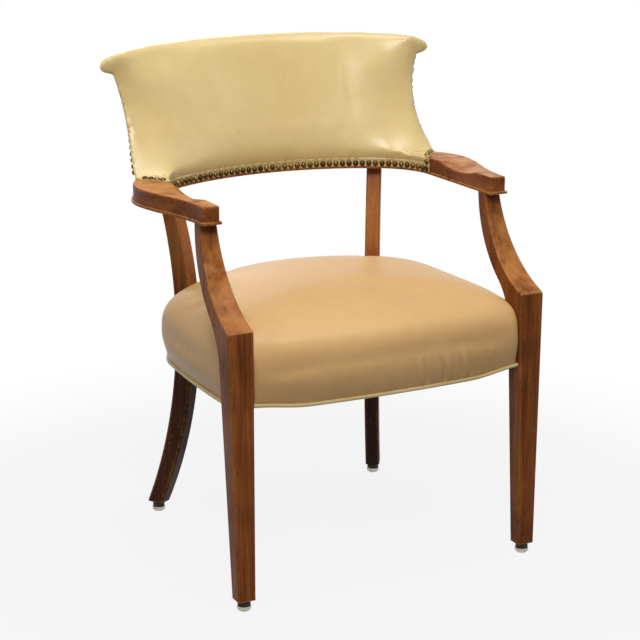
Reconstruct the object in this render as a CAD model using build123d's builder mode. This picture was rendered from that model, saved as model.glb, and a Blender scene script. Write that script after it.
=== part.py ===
from build123d import *
import os
from math import asin, atan2, cos, degrees, hypot, radians, sin, sqrt, tan

# Barrel-back upholstered armchair, in millimetres.
# +Z is up, the chair faces -Y, and the floor is z = 0 under the middle of the chair.

# Overall sizes
overall_depth = 550.0
seat_half_width = 264.0
knuckle_z = 441.0
arm_bottom_z = 582.0
arm_height = 28.0
crest_z = 797.0

# Front legs, each sawn in one piece with the arm support above it
leg_bottom_z = 17.5
leg_foot_set_back = 7.0
leg_foot_depth = 26.0
leg_foot_set_in = 27.0
leg_foot_width = 29.0
knuckle_set_back = 15.0
knuckle_set_in = 31.8
knuckle_width = 42.4
support_set_back = 135.0
support_depth = 24.0
support_set_in = 27.5
support_width = 27.5
support_hollow = 25.0
leg_bend_z = 385.0
leg_bend_set_back = 53.0
leg_bend_radius = 90.0
leg_bend_angle = 48.0
leg_edge_radius = 3.0

# Rear legs, sabre curved in an upright plane that is turned outwards
post_turn = 32.0
post_waist_set_in = 88.0
post_waist_y = 129.0
post_waist_z = 348.0
post_lower_radius = 820.0
post_upper_radius = 720.0
post_waist_width = 36.0
post_foot_width = 31.0
post_top_width = 28.0
post_thickness = 25.0
post_chamfer = 3.0

# Bow of the back: a deep U in plan, with the arms butted to its ends
bow_set_in = 26.0
bow_corner_radius = 105.0
bow_middle_radius = 375.0
bow_apex_y = 177.0
bow_width = 47.0
butt_y = 95.0
butt_dowel_shares = (0.36, 0.7)
bead_proud = 3.0
bead_height = 3.5

# Arms
arm_overhang = 15.0
arm_front_width = 27.0
arm_flare_width = 60.0
arm_flare_y = 12.0
arm_neck_width = 46.0
arm_neck_y = -50.0
arm_edge_radius = 3.0
arm_front_lean = (0.03, 1.0)
scoop_depth = 8.0
scoop_reach = 35.0
scoop_radius = 225.0
scoop_y = -48.0

# Upholstered wall of the back, from the top of the bow to the crest
crest_overhang = 21.0
crest_corner_radius = 105.0
crest_middle_radius = 560.0
crest_slope = 6.5
wall_top = 26.0
cover_foot = 3.0
cover_top = 2.0
pad_foot = 18.0
pad_top = 10.0
burlap_thickness = 2.0
pad_swell = 9.0
swell_z = 655.0
pad_lip = 6.0
pad_lip_z = 612.0
pad_start_z = 597.0
pad_front_y = 56.0
wing_top_y = 164.0
wing_bend_z = 775.0
wing_bend_radius = 220.0
wing_bend_angle = 45.0
wing_toe_radius = 8.0
wing_padding = 12.0
stile_depth = 32.0
crest_rail_height = 38.0
crest_rail_drop = 24.0
cap_radius = 13.2
roll_radius = 14.0
roll_set_back = 27.0
roll_drop = 7.0
vinyl = 1.5
vinyl_front_y = 42.0
flap_outer_y = 88.0
flap_back = 5.0

# Seat frame
rail_bottom_z = 318.0
rail_height = 69.0
front_rail_set_back = 29.0
front_rail_thickness = 24.0
back_rail_set_in = 55.0
back_rail_thickness = 24.0
side_rail_front_set_in = 21.0
side_rail_front_set_back = 50.0
side_rail_back_set_in = 80.0
side_rail_back_set_in_y = 79.0
side_rail_radius = 560.0
side_rail_thickness = 22.0
corner_block_height = 45.0
corner_block_reach = 62.0
rear_block_reach = 93.0
web_width = 52.0
web_thickness = 2.0
web_count = 4
web_pitch_x = 84.0
web_pitch_y = 80.0
web_middle_y = -60.0

# Seat upholstery
seat_front_radius = 2000.0
seat_widest_y = -138.0
seat_side_radius = 2000.0
seat_back_y = 183.0
seat_back_radius = 350.0
seat_front_corner = 24.0
seat_back_corner = 128.0
seat_middle_y = -55.0
seat_shoulder_z = 380.0
seat_crown_z = 450.0
seat_cover_thickness = 7.0
seat_foot_scale = 0.97
seat_skirt_scale = 0.991
seat_crown_angles = (0, 20, 40, 60, 75, 87)
seat_gap = 0.5
welt_diameter = 6.4
welt_gap = 0.1
dust_cover_thickness = 1.0

# Dowels and decorative nails
dowel_diameter = 10.0
dowel_length = 40.0
dowel_clearance = 0.1
nail_diameter = 10.0
nail_height = 2.6
nail_pitch = 11.4
nail_sides = 8
nail_bevel = 46.0
nail_gap = 0.35
nail_margin = 1.0

# Cushioned glides under the legs
glide_diameter = 22.0
cushion_diameter = 20.0
cushion_ball_radius = 13.0
glide_base_height = 8.0
glide_edge_height = 3.0
glide_gap = 0.3
glide_floor_radius = 8.5
glide_nail_diameter = 3.0
glide_nail_head = 8.0
glide_nail_head_height = 1.6
glide_nail_head_z = 8.0
glide_nail_reach = 16.0

# Worked-out heights and lines
arm_top_z = arm_bottom_z + arm_height
bead_top_z = arm_bottom_z + bead_height
rail_top_z = rail_bottom_z + rail_height
seat_front_y = -overall_depth / 2
leg_foot_front_y = seat_front_y + leg_foot_set_back
leg_foot_inner_x = seat_half_width - leg_foot_set_in
leg_foot_outer_x = leg_foot_inner_x + leg_foot_width
knuckle_front_y = seat_front_y + knuckle_set_back
knuckle_inner_x = seat_half_width - knuckle_set_in
knuckle_outer_x = knuckle_inner_x + knuckle_width
support_front_y = seat_front_y + support_set_back
support_inner_x = seat_half_width - support_set_in
support_outer_x = support_inner_x + support_width
leg_bend_y = seat_front_y + leg_bend_set_back
post_waist_x = seat_half_width - post_waist_set_in
bow_inner_half = seat_half_width - bow_set_in
bow_corner_x = bow_inner_half - bow_corner_radius
arm_front_y = support_front_y - arm_overhang
arm_front_outer_x = bow_inner_half + arm_front_width
arm_flare_x = bow_inner_half + arm_flare_width
arm_neck_x = bow_inner_half + arm_neck_width
crest_half = seat_half_width + crest_overhang
front_rail_face_y = seat_front_y + front_rail_set_back
back_rail_face_y = seat_back_y - back_rail_set_in
side_rail_front_x = seat_half_width - side_rail_front_set_in
side_rail_front_y = seat_front_y + side_rail_front_set_back
side_rail_back_x = seat_half_width - side_rail_back_set_in
side_rail_back_y = seat_back_y - side_rail_back_set_in_y
crest_apex_y = (overall_depth / 2 - roll_radius) / cos(radians(crest_slope)) - roll_set_back
reach = 400.0

os.makedirs("parts", exist_ok=True)


def keep(builder, node):
    builder.part.label = node
    export_step(builder.part, f"parts/{node}.step")


def keep_both_sides(right, node):
    keep(right, f"{node}_right")
    with BuildPart() as left:
        mirror(right.part, about=Plane.YZ)
    keep(left, f"{node}_left")


# Plan of the barrel: a middle arc, two tangent corner arcs and straight sides
class Barrel:
    def __init__(self, half, corner, middle, apex_y):
        self.half = half
        self.corner = corner
        self.middle = middle
        self.corner_x = half - corner
        self.middle_y = apex_y - middle
        self.corner_y = self.middle_y + sqrt((middle - corner) ** 2 - self.corner_x**2)
        self.turn = degrees(atan2(self.corner_y - self.middle_y, self.corner_x))

    # Right-hand end of a run that starts at a line across the chair
    def end(self, offset, front_y):
        past_corner = max(0.0, front_y - self.corner_y)
        return (self.corner_x + sqrt((self.corner + offset) ** 2 - past_corner**2), front_y)

    # One run of the barrel, from the right side round to the left, set out by an offset
    def run(self, offset, front_y):
        half = self.half + offset
        radius = self.corner + offset
        bend = degrees(asin(max(0.0, front_y - self.corner_y) / radius))
        if front_y < self.corner_y:
            Line((half, front_y), (half, self.corner_y))
        CenterArc((self.corner_x, self.corner_y), radius, bend, self.turn - bend)
        CenterArc((0, self.middle_y), self.middle + offset, self.turn, 180 - 2 * self.turn)
        CenterArc((-self.corner_x, self.corner_y), radius, 180 - self.turn, self.turn - bend)
        if front_y < self.corner_y:
            Line((-half, self.corner_y), (-half, front_y))

    # Closed outline between two offsets
    def band(self, near, far, front_y):
        self.run(near, front_y)
        self.run(far, front_y)
        near_end = self.end(near, front_y)
        far_end = self.end(far, front_y)
        Line(near_end, far_end)
        Line((-near_end[0], front_y), (-far_end[0], front_y))


bow = Barrel(bow_inner_half, bow_corner_radius, bow_middle_radius, bow_apex_y)
crest = Barrel(crest_half, crest_corner_radius, crest_middle_radius, crest_apex_y)


# Sloping plane of the crest, lifted or lowered from the crest line
def crest_plane(lift=0.0):
    foot = crest_z + lift - crest_apex_y * tan(radians(crest_slope))
    tilt = (0, -sin(radians(crest_slope)), cos(radians(crest_slope)))
    return Plane(origin=(0, 0, foot), x_dir=(1, 0, 0), z_dir=tilt)


# Straight-ruled layer of the back wall between two offsets at its foot and at its top
def wall_layer(near, far):
    with BuildPart() as layer:
        with BuildSketch(Plane.XY.offset(arm_top_z)):
            with BuildLine():
                bow.band(near[0], far[0], 0)
            make_face()
        with BuildSketch(crest_plane()):
            with BuildLine():
                crest.band(near[1], far[1], 0)
            make_face()
        loft(ruled=True)
    return layer.part


# Swept front edge of a wing in side view, from a height down to just above the arm
wing_slope = radians(wing_bend_angle)
wing_bend_end = (
    wing_top_y - wing_bend_radius * (1 - cos(wing_slope)),
    wing_bend_z - wing_bend_radius * sin(wing_slope),
)
wing_fall = wing_bend_end[1] - arm_top_z - vinyl - wing_toe_radius * (1 - sin(wing_slope))
wing_toe = (wing_bend_end[0] - wing_fall * tan(wing_slope), wing_bend_end[1] - wing_fall)
wing_foot_y = wing_toe[0] - wing_toe_radius * cos(wing_slope)


def wing_sweep(inset, top_z):
    top_y = wing_top_y + inset
    lead = degrees(asin(max(0.0, wing_bend_z - top_z) / wing_bend_radius))
    if top_z > wing_bend_z:
        Line((top_y, top_z), (top_y, wing_bend_z))
    centre = (top_y - wing_bend_radius, wing_bend_z)
    CenterArc(centre, wing_bend_radius, -lead, lead - wing_bend_angle)
    Line((wing_bend_end[0] + inset, wing_bend_end[1]), (wing_toe[0] + inset, wing_toe[1]))


# Everything behind the swept front edge of the wings, set back by an inset
def behind_wing(inset=0.0):
    top = (wing_top_y + inset, crest_z + reach)
    foot = (wing_foot_y + inset, arm_top_z + vinyl)
    with BuildPart() as side:
        with BuildSketch(Plane.YZ):
            with BuildLine():
                wing_sweep(inset, top[1])
                TangentArc(foot, (wing_toe[0] + inset, wing_toe[1]), tangent=(1, 0))
                Polyline(foot, (foot[0], arm_bottom_z), (reach, arm_bottom_z), (reach, top[1]), top)
            make_face()
        extrude(amount=reach, both=True)
    return side.part


# Rear edge of the front leg in side view, moved back by a gap
def leg_rear_edge(gap=0.0):
    foot = (leg_foot_front_y + leg_foot_depth + gap, leg_bottom_z)
    bend = (leg_bend_y + gap, leg_bend_z)
    top = (support_front_y + support_depth + gap, arm_bottom_z)
    straight = Line(foot, bend)
    turn = JernArc(bend, straight % 1, leg_bend_radius, -leg_bend_angle)
    TangentArc(turn @ 1, top, tangent=turn % 1)
    return foot, top


# Everything in front of the rear faces of the front legs
def before_leg_rear(gap=0.0):
    with BuildPart() as zone:
        with BuildSketch(Plane.YZ):
            with BuildLine():
                foot, top = leg_rear_edge(gap)
                Line(foot, (-reach, foot[1]))
                Line((-reach, foot[1]), (-reach, top[1]))
                Line((-reach, top[1]), top)
            make_face()
        extrude(amount=reach, both=True)
    return zone.part


# Everything between the inner faces of the front legs
def between_legs(gap=0.0):
    foot = leg_foot_inner_x - gap
    knuckle = knuckle_inner_x - gap
    with BuildPart() as zone:
        with BuildSketch(Plane.XZ):
            with BuildLine():
                Polyline(
                    (-foot, leg_bottom_z),
                    (foot, leg_bottom_z),
                    (knuckle, knuckle_z),
                    (knuckle, arm_bottom_z),
                    (-knuckle, arm_bottom_z),
                    (-knuckle, knuckle_z),
                    close=True,
                )
            make_face()
        extrude(amount=reach, both=True)
    return zone.part


# Front leg
foot_centre = ((leg_foot_inner_x + leg_foot_outer_x) / 2, leg_foot_front_y + leg_foot_depth / 2)
support_centre = ((support_inner_x + support_outer_x) / 2, support_front_y + support_depth / 2)
dowel_hole = dowel_diameter / 2 + dowel_clearance
glide_hole = glide_nail_diameter / 2 + dowel_clearance

with BuildPart() as front_leg:
    with BuildSketch(Plane.YZ):
        with BuildLine():
            rear_foot, rear_top = leg_rear_edge()
            front_foot = (leg_foot_front_y, leg_bottom_z)
            knuckle_point = (knuckle_front_y, knuckle_z)
            front_top = (support_front_y, arm_bottom_z)
            Line(front_foot, knuckle_point)
            SagittaArc(knuckle_point, front_top, -support_hollow)
            Line(front_top, rear_top)
            Line(rear_foot, front_foot)
        make_face()
    extrude(amount=reach)
    with BuildSketch(Plane.XZ):
        with BuildLine():
            Polyline(
                (leg_foot_inner_x, leg_bottom_z),
                (leg_foot_outer_x, leg_bottom_z),
                (knuckle_outer_x, knuckle_z),
                (support_outer_x, arm_bottom_z),
                (support_inner_x, arm_bottom_z),
                (knuckle_inner_x, knuckle_z),
                close=True,
            )
        make_face()
    extrude(amount=reach, both=True, mode=Mode.INTERSECT)
    leg_edges = front_leg.edges().filter_by(lambda edge: leg_bottom_z < edge.center().Z < arm_bottom_z)
    fillet(leg_edges, leg_edge_radius)
    with Locations((*support_centre, arm_bottom_z)):
        Hole(dowel_hole, dowel_length / 2 + dowel_clearance)
    with Locations(Location((*foot_centre, leg_bottom_z), (180, 0, 0))):
        Hole(glide_hole, glide_nail_reach + dowel_clearance)
keep_both_sides(front_leg, "front_leg")

# Rear leg: the turned plane has the outward and backward direction as its own X
turn_x = sin(radians(post_turn))
turn_y = cos(radians(post_turn))


def post_plane():
    return Plane(
        origin=(post_waist_x, post_waist_y, 0), x_dir=(turn_x, turn_y, 0), z_dir=(turn_y, -turn_x, 0)
    )


def post_shift(z):
    radius = post_upper_radius if z > post_waist_z else post_lower_radius
    return radius - sqrt(radius**2 - (z - post_waist_z) ** 2)


# One long edge of the rear leg, as a lower and an upper arc that meet upright at the waist
def post_edge(side, gap=0.0):
    def point(z, width):
        return (post_shift(z) + side * (width / 2 + gap), z)

    foot = point(leg_bottom_z, post_foot_width)
    waist = point(post_waist_z, post_waist_width)
    top = point(arm_bottom_z, post_top_width)
    TangentArc(waist, foot, tangent=(0, -1))
    TangentArc(waist, top, tangent=(0, 1))
    return foot, top


def post_place(z):
    shift = post_shift(z)
    return (post_waist_x + shift * turn_x, post_waist_y + shift * turn_y)


post_top = post_place(arm_bottom_z)
post_foot = post_place(leg_bottom_z)

with BuildPart() as rear_leg:
    with BuildSketch(post_plane()):
        with BuildLine():
            front_low, front_high = post_edge(-1)
            back_low, back_high = post_edge(1)
            Line(front_high, back_high)
            Line(front_low, back_low)
        make_face()
    extrude(amount=post_thickness / 2, both=True)
    square_post = rear_leg.part
    chamfer(rear_leg.edges().filter_by(GeomType.CIRCLE), post_chamfer)
    with Locations((*post_top, arm_bottom_z)):
        Hole(dowel_hole, dowel_length / 2 + dowel_clearance)
    with Locations(Location((*post_foot, leg_bottom_z), (180, 0, 0))):
        Hole(glide_hole, glide_nail_reach + dowel_clearance)
keep_both_sides(rear_leg, "rear_leg")


# Notch that the rear leg needs in the upholstery, open to the outside
def post_notch(gap):
    with BuildPart() as notch:
        with BuildSketch(post_plane()):
            with BuildLine():
                low, high = post_edge(-1, gap)
                Polyline(low, (reach / 2, leg_bottom_z), (reach / 2, arm_bottom_z), high)
            make_face()
        extrude(amount=post_thickness / 2 + gap, both=True)
    return notch.part


# Dowels that join arm and bow end to end, in pairs on each side
butt_span = (bow.end(0, butt_y)[0], bow.end(bow_width, butt_y)[0])
butt_dowel_x = [butt_span[0] + (butt_span[1] - butt_span[0]) * share for share in butt_dowel_shares]
butt_dowel_z = (bead_top_z + arm_top_z) / 2


def cut_butt_dowels():
    for x in butt_dowel_x:
        with Locations(Location((x, butt_y, butt_dowel_z), (90, 0, 0))):
            Cylinder(dowel_hole, dowel_length + 2 * dowel_clearance, mode=Mode.SUBTRACT)


# Arm: plan outline, a bead under it and a tilted scoop for the elbow
def arm_plan():
    bend = degrees(asin((butt_y - bow.corner_y) / bow_corner_radius))
    Line((bow_inner_half, arm_front_y), (bow_inner_half, bow.corner_y))
    CenterArc((bow_corner_x, bow.corner_y), bow_corner_radius, 0, bend)
    Line((butt_span[0], butt_y), (butt_span[1], butt_y))
    hollow = TangentArc((arm_front_outer_x, arm_front_y), (arm_neck_x, arm_neck_y), tangent=arm_front_lean)
    flare = TangentArc(hollow @ 1, (arm_flare_x, arm_flare_y), tangent=hollow % 1)
    TangentArc(flare @ 1, (butt_span[1], butt_y), tangent=flare % 1)
    Line((arm_front_outer_x, arm_front_y), (bow_inner_half, arm_front_y))


# Edges of the arm that are eased: round the top where no vinyl lies, the scoop and both front corners
def eased_arm_edge(edge):
    middle = edge.center()
    curved_in = edge.geom_type == GeomType.ELLIPSE
    if abs(middle.Z - arm_top_z) < 1 and not curved_in:
        return middle.Y < vinyl_front_y or arm_front_outer_x < middle.X and middle.Y < butt_y - 1
    at_front = middle.Y < arm_front_y + 1 and middle.Z > bead_top_z + 1
    return at_front or curved_in and abs(middle.X - bow_inner_half) < 1


with BuildPart() as arm:
    with BuildSketch(Plane.XY.offset(arm_bottom_z)):
        with BuildLine():
            arm_plan()
        make_face()
    extrude(amount=arm_height)
    with BuildSketch(Plane.XY.offset(arm_bottom_z)):
        with BuildLine():
            arm_plan()
        make_face()
        offset(amount=bead_proud)
    extrude(amount=bead_height)
    split(bisect_by=Plane(origin=(0, butt_y, 0), z_dir=(0, 1, 0)), keep=Keep.BOTTOM)
    scoop_axis = Vector(scoop_reach, 0, scoop_depth).normalized()
    scoop_up = Vector(-scoop_depth, 0, scoop_reach).normalized()
    scoop_foot = Vector(bow_inner_half, scoop_y, arm_top_z - scoop_depth)
    with BuildSketch(Plane(origin=scoop_foot + scoop_up * scoop_radius, z_dir=scoop_axis)):
        Circle(scoop_radius)
    extrude(amount=reach, both=True, mode=Mode.SUBTRACT)
    square_arm = arm.part
    fillet(arm.edges().filter_by(eased_arm_edge), arm_edge_radius)
    with Locations(Location((*support_centre, arm_bottom_z), (180, 0, 0))):
        Hole(dowel_hole, dowel_length / 2 + dowel_clearance)
    cut_butt_dowels()
keep_both_sides(arm, "arm")

# Bow rail of the back, standing on the rear legs
with BuildPart() as bow_rail:
    with BuildSketch(Plane.XY.offset(arm_bottom_z)):
        with BuildLine():
            bow.band(0, bow_width, butt_y)
        make_face()
    extrude(amount=arm_height)
    with BuildSketch(Plane.XY.offset(arm_bottom_z)):
        with BuildLine():
            bow.band(-bead_proud, bow_width + bead_proud, butt_y)
        make_face()
    extrude(amount=bead_height)
    for side in (-1, 1):
        with Locations(Location((side * post_top[0], post_top[1], arm_bottom_z), (180, 0, 0))):
            Hole(dowel_hole, dowel_length / 2 + dowel_clearance)
    cut_butt_dowels()
    mirror(bow_rail.part, about=Plane.YZ, mode=Mode.INTERSECT)
keep(bow_rail, "bow_rail")

# Dowels of the show frame: leg to arm, rear leg to bow, arm to bow
with BuildPart() as frame_dowels:
    for side in (-1, 1):
        with Locations(
            (side * support_centre[0], support_centre[1], arm_bottom_z),
            (side * post_top[0], post_top[1], arm_bottom_z),
        ):
            Cylinder(dowel_diameter / 2, dowel_length)
        for x in butt_dowel_x:
            with Locations(Location((side * x, butt_y, butt_dowel_z), (90, 0, 0))):
                Cylinder(dowel_diameter / 2, dowel_length)
keep(frame_dowels, "frame_dowels")

# Layers of the back wall, as offsets at the foot and at the crest
wall_foot = bow_width + vinyl
pad_back = (pad_foot, pad_top)
wood_front = (pad_foot + burlap_thickness, pad_top + burlap_thickness)
wood_back = (wall_foot - cover_foot, wall_top - cover_top)
wall_back = (wall_foot, wall_top)


# Half space above or below the sloping plane of the crest, lowered by a drop
def crest_side(drop, above):
    with BuildPart() as block:
        with BuildSketch(crest_plane(-drop)):
            Rectangle(2 * reach, 2 * reach)
        extrude(amount=reach if above else -reach)
    return block.part


wood_layer = wall_layer(wood_front, wood_back)

# Wing stile, standing on the joint of arm and bow
with BuildPart() as stile:
    add(wood_layer)
    add(behind_wing(wing_padding), mode=Mode.INTERSECT)
    add(behind_wing(wing_padding + stile_depth), mode=Mode.SUBTRACT)
    add(crest_side(crest_rail_drop, False), mode=Mode.INTERSECT)
    split(bisect_by=Plane.YZ, keep=Keep.TOP)
keep_both_sides(stile, "back_stile")

# Crest rail, curved between the two stiles
with BuildPart() as crest_rail:
    add(wood_layer)
    add(behind_wing(wing_padding + stile_depth), mode=Mode.INTERSECT)
    add(crest_side(crest_rail_drop, False), mode=Mode.INTERSECT)
    add(crest_side(crest_rail_drop + crest_rail_height, True), mode=Mode.INTERSECT)
keep(crest_rail, "crest_rail")

# Burlap stretched over the front of the back frame
with BuildPart() as burlap:
    add(wall_layer(pad_back, wood_front))
    add(behind_wing(wing_padding), mode=Mode.INTERSECT)
    add(crest_side(crest_rail_drop, False), mode=Mode.INTERSECT)
keep(burlap, "back_burlap")

# Outside back: vinyl panel from the bead of the bow to just under the roll
def outside_wall():
    with BuildPart() as panel:
        add(wall_layer(wood_back, wall_back))
        add(behind_wing(cover_foot), mode=Mode.INTERSECT)
        add(crest_side(roll_radius + roll_drop + vinyl, False), mode=Mode.INTERSECT)
    return panel.part


with BuildPart() as outside_back:
    with BuildSketch(Plane.XY.offset(bead_top_z)):
        with BuildLine():
            bow.band(bow_width, bow_width + vinyl, butt_y)
        make_face()
    extrude(amount=arm_top_z - bead_top_z)
    add(outside_wall())
keep(outside_back, "outside_back_cover")


# Room for the frame and the burlap inside the upholstery
def back_cavity():
    with BuildPart() as room:
        add(wall_layer(pad_back, wood_back))
        add(behind_wing(wing_padding), mode=Mode.INTERSECT)
        add(crest_side(crest_rail_drop, False), mode=Mode.INTERSECT)
    return room.part


# Round bar along the crest, set back and lowered from the crest line
def crest_bar(radius, set_back, drop):
    with BuildPart() as bar:
        with BuildLine(crest_plane(-drop)) as path:
            corner = crest.corner + set_back
            CenterArc((crest.corner_x, crest.corner_y), corner, 0, crest.turn)
            CenterArc((0, crest.middle_y), crest.middle + set_back, crest.turn, 180 - 2 * crest.turn)
            CenterArc((-crest.corner_x, crest.corner_y), corner, 180 - crest.turn, crest.turn)
        with BuildSketch(Plane(origin=path.line @ 0, z_dir=path.line % 0)):
            Circle(radius)
        sweep(path=path.line)
    return bar.part


# Where the pad may swell: behind the wings, and further forward beside the arms
def pad_zone():
    with BuildPart() as zone:
        add(behind_wing())
        with BuildSketch(Plane.YZ):
            with Locations((pad_front_y, arm_bottom_z)):
                Rectangle(reach, arm_height + vinyl, align=(Align.MIN, Align.MIN))
        extrude(amount=reach, both=True)
    return zone.part


# Swelling face of the inside back, from a lip over the nails up to the crest
def pad_swelling():
    share = (swell_z - arm_top_z) / (crest_z - arm_top_z)
    middle = Barrel(
        bow.half + (crest.half - bow.half) * share,
        bow.corner + (crest.corner - bow.corner) * share,
        bow.middle + (crest.middle - bow.middle) * share,
        bow_apex_y + (crest_apex_y - bow_apex_y) * share,
    )
    with BuildPart() as pad:
        for z, plan, swell in (
            (pad_start_z, bow, vinyl),
            (pad_lip_z, bow, pad_lip),
            (swell_z, middle, pad_swell),
        ):
            with BuildSketch(Plane.XY.offset(z)):
                with BuildLine():
                    plan.band(-swell, pad_top / 2, 0)
                make_face()
        with BuildSketch(crest_plane()):
            with BuildLine():
                crest.band(0, pad_top / 2, 0)
            make_face()
        loft()
        add(pad_zone(), mode=Mode.INTERSECT)
    return pad.part


# Flap of vinyl on top of the arms, with a slanting front edge
flap_inner = bow.end(-vinyl, vinyl_front_y)
flap_outer = bow.end(bow_width, flap_outer_y)


def arm_flap():
    with BuildPart() as flap:
        with BuildSketch(Plane.XY.offset(arm_top_z)):
            with BuildLine():
                bow.band(-vinyl, bow_width, vinyl_front_y)
            make_face()
            for side in (-1, 1):
                with BuildLine():
                    Polyline(
                        (side * flap_inner[0], flap_inner[1]),
                        (side * flap_outer[0], flap_outer[1]),
                        (side * reach, flap_outer[1]),
                        (side * reach, flap_inner[1]),
                        close=True,
                    )
                make_face(mode=Mode.SUBTRACT)
        extrude(amount=vinyl)
        split(bisect_by=Plane(origin=(0, wing_foot_y + flap_back, 0), z_dir=(0, 1, 0)), keep=Keep.BOTTOM)
    return flap.part


# Inside back: swelling pad with a rolled-over crest, wrapped round the frame
with BuildPart() as inside_back:
    add(wall_layer((0, 0), wall_back))
    add(crest_bar(cap_radius, wall_top / 2, 0))
    add(crest_bar(roll_radius, roll_set_back, roll_drop))
    add(behind_wing(), mode=Mode.INTERSECT)
    add(pad_swelling())
    for rail in (bow_rail.part, square_arm, mirror(square_arm, about=Plane.YZ, mode=Mode.PRIVATE)):
        add(rail, mode=Mode.SUBTRACT)
    add(arm_flap())
    add(back_cavity(), mode=Mode.SUBTRACT)
    add(outside_wall(), mode=Mode.SUBTRACT)
    with BuildSketch(Plane.XY.offset(bead_top_z)):
        with BuildLine():
            bow.band(-vinyl, 0, vinyl_front_y)
        make_face()
    extrude(amount=arm_top_z - bead_top_z)
keep(inside_back, "inside_back_cushion")


# Seat outline: front, side and back arcs with tangent corners, scaled about the middle of the seat
def tangent_corner(first, first_radius, second, second_radius, radius):
    gap = hypot(second[0] - first[0], second[1] - first[1])
    near = first_radius - radius
    far = second_radius - radius
    along = (near**2 - far**2 + gap**2) / (2 * gap)
    aside = sqrt(near**2 - along**2)
    ux = (second[0] - first[0]) / gap
    uy = (second[1] - first[1]) / gap
    return [
        (first[0] + along * ux - turn * aside * uy, first[1] + along * uy + turn * aside * ux)
        for turn in (-1, 1)
    ]


front_centre = (0, seat_front_y + seat_front_radius)
side_centre = (seat_half_width - seat_side_radius, seat_widest_y)
back_centre = (0, seat_back_y - seat_back_radius)
front_corner_centre = min(
    tangent_corner(front_centre, seat_front_radius, side_centre, seat_side_radius, seat_front_corner),
    key=lambda point: point[1],
)
back_corner_centre = max(
    tangent_corner(back_centre, seat_back_radius, side_centre, seat_side_radius, seat_back_corner),
    key=lambda point: point[1],
)


def heading(start, end):
    return degrees(atan2(end[1] - start[1], end[0] - start[0]))


def seat_arcs():
    front_turn = heading(front_centre, front_corner_centre)
    side_from = heading(side_centre, front_corner_centre)
    side_to = heading(side_centre, back_corner_centre)
    back_from = heading(back_centre, back_corner_centre)
    right = (
        (front_corner_centre, seat_front_corner, front_turn, side_from - front_turn),
        (side_centre, seat_side_radius, side_from, side_to - side_from),
        (back_corner_centre, seat_back_corner, side_to, back_from - side_to),
    )
    left = [
        ((-centre[0], centre[1]), radius, 180 - start - size, size)
        for centre, radius, start, size in reversed(right)
    ]
    back = (back_centre, seat_back_radius, back_from, 180 - 2 * back_from)
    front = (front_centre, seat_front_radius, 180 - front_turn, 2 * front_turn + 180)
    return [*right, back, *left, front]


def seat_outline(scale):
    for centre, radius, start, size in seat_arcs():
        place = (centre[0] * scale, seat_middle_y + (centre[1] - seat_middle_y) * scale)
        CenterArc(place, radius * scale, start, size)


# One lofted stretch of the seat through outline scales at rising heights
def seat_loft(levels):
    with BuildPart() as stretch:
        for z, scale in levels:
            with BuildSketch(Plane.XY.offset(z)):
                with BuildLine():
                    seat_outline(scale)
                make_face()
        loft()
    return stretch.part


# Seat: a swelling skirt and a crown on it, both thinned all round by a wall
def seat_body(wall=0.0):
    edge = 1 - wall / seat_half_width
    crown = seat_crown_z - seat_shoulder_z - wall
    levels = []
    for angle in seat_crown_angles:
        scale = edge * sqrt(cos(radians(angle)))
        levels.append((seat_shoulder_z + crown * sin(radians(angle)), scale))
    with BuildPart() as body:
        add(seat_loft([
            (rail_bottom_z, edge * seat_foot_scale),
            ((rail_bottom_z + seat_shoulder_z) / 2, edge * seat_skirt_scale),
            (seat_shoulder_z, edge),
        ]))
        add(seat_loft(levels))
    return body.part


# Notches that all four legs need in the upholstery
with BuildPart() as leg_notches:
    add(before_leg_rear(seat_gap))
    add(between_legs(seat_gap), mode=Mode.SUBTRACT)
    add(post_notch(seat_gap))
    mirror(post_notch(seat_gap), about=Plane.YZ)

cushion_room = seat_body(seat_cover_thickness)

# Seat cover: padded vinyl pulled over the rails, open underneath
with BuildPart() as seat_cover:
    add(seat_body())
    add(cushion_room, mode=Mode.SUBTRACT)
    add(leg_notches.part, mode=Mode.SUBTRACT)
keep(seat_cover, "seat_cover")

# Rails between the legs
with BuildPart() as both_posts:
    add(square_post)
    mirror(square_post, about=Plane.YZ)

with BuildPart() as front_rail:
    with BuildSketch(Plane.XY.offset(rail_bottom_z)):
        with Locations((0, front_rail_face_y)):
            Rectangle(reach * 2, front_rail_thickness, align=(Align.CENTER, Align.MIN))
    extrude(amount=rail_height)
    add(between_legs(), mode=Mode.INTERSECT)
keep(front_rail, "seat_rail_front")

with BuildPart() as back_rail:
    with BuildSketch(Plane.XY.offset(rail_bottom_z)):
        with Locations((0, back_rail_face_y)):
            Rectangle(2 * post_waist_x, back_rail_thickness, align=(Align.CENTER, Align.MAX))
    extrude(amount=rail_height)
    add(both_posts.part, mode=Mode.SUBTRACT)
keep(back_rail, "seat_rail_back")

# Side rail, sawn to an arc from the front leg to the rear leg
rail_run = (side_rail_back_x - side_rail_front_x, side_rail_back_y - side_rail_front_y)
rail_chord = hypot(*rail_run)
rail_sink = sqrt(side_rail_radius**2 - rail_chord**2 / 4)
rail_centre = (
    (side_rail_front_x + side_rail_back_x) / 2 - rail_sink * rail_run[1] / rail_chord,
    (side_rail_front_y + side_rail_back_y) / 2 + rail_sink * rail_run[0] / rail_chord,
)
rail_from = heading(rail_centre, (side_rail_front_x, side_rail_front_y - side_rail_thickness))
rail_to = heading(rail_centre, (side_rail_back_x, side_rail_back_y))

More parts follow.
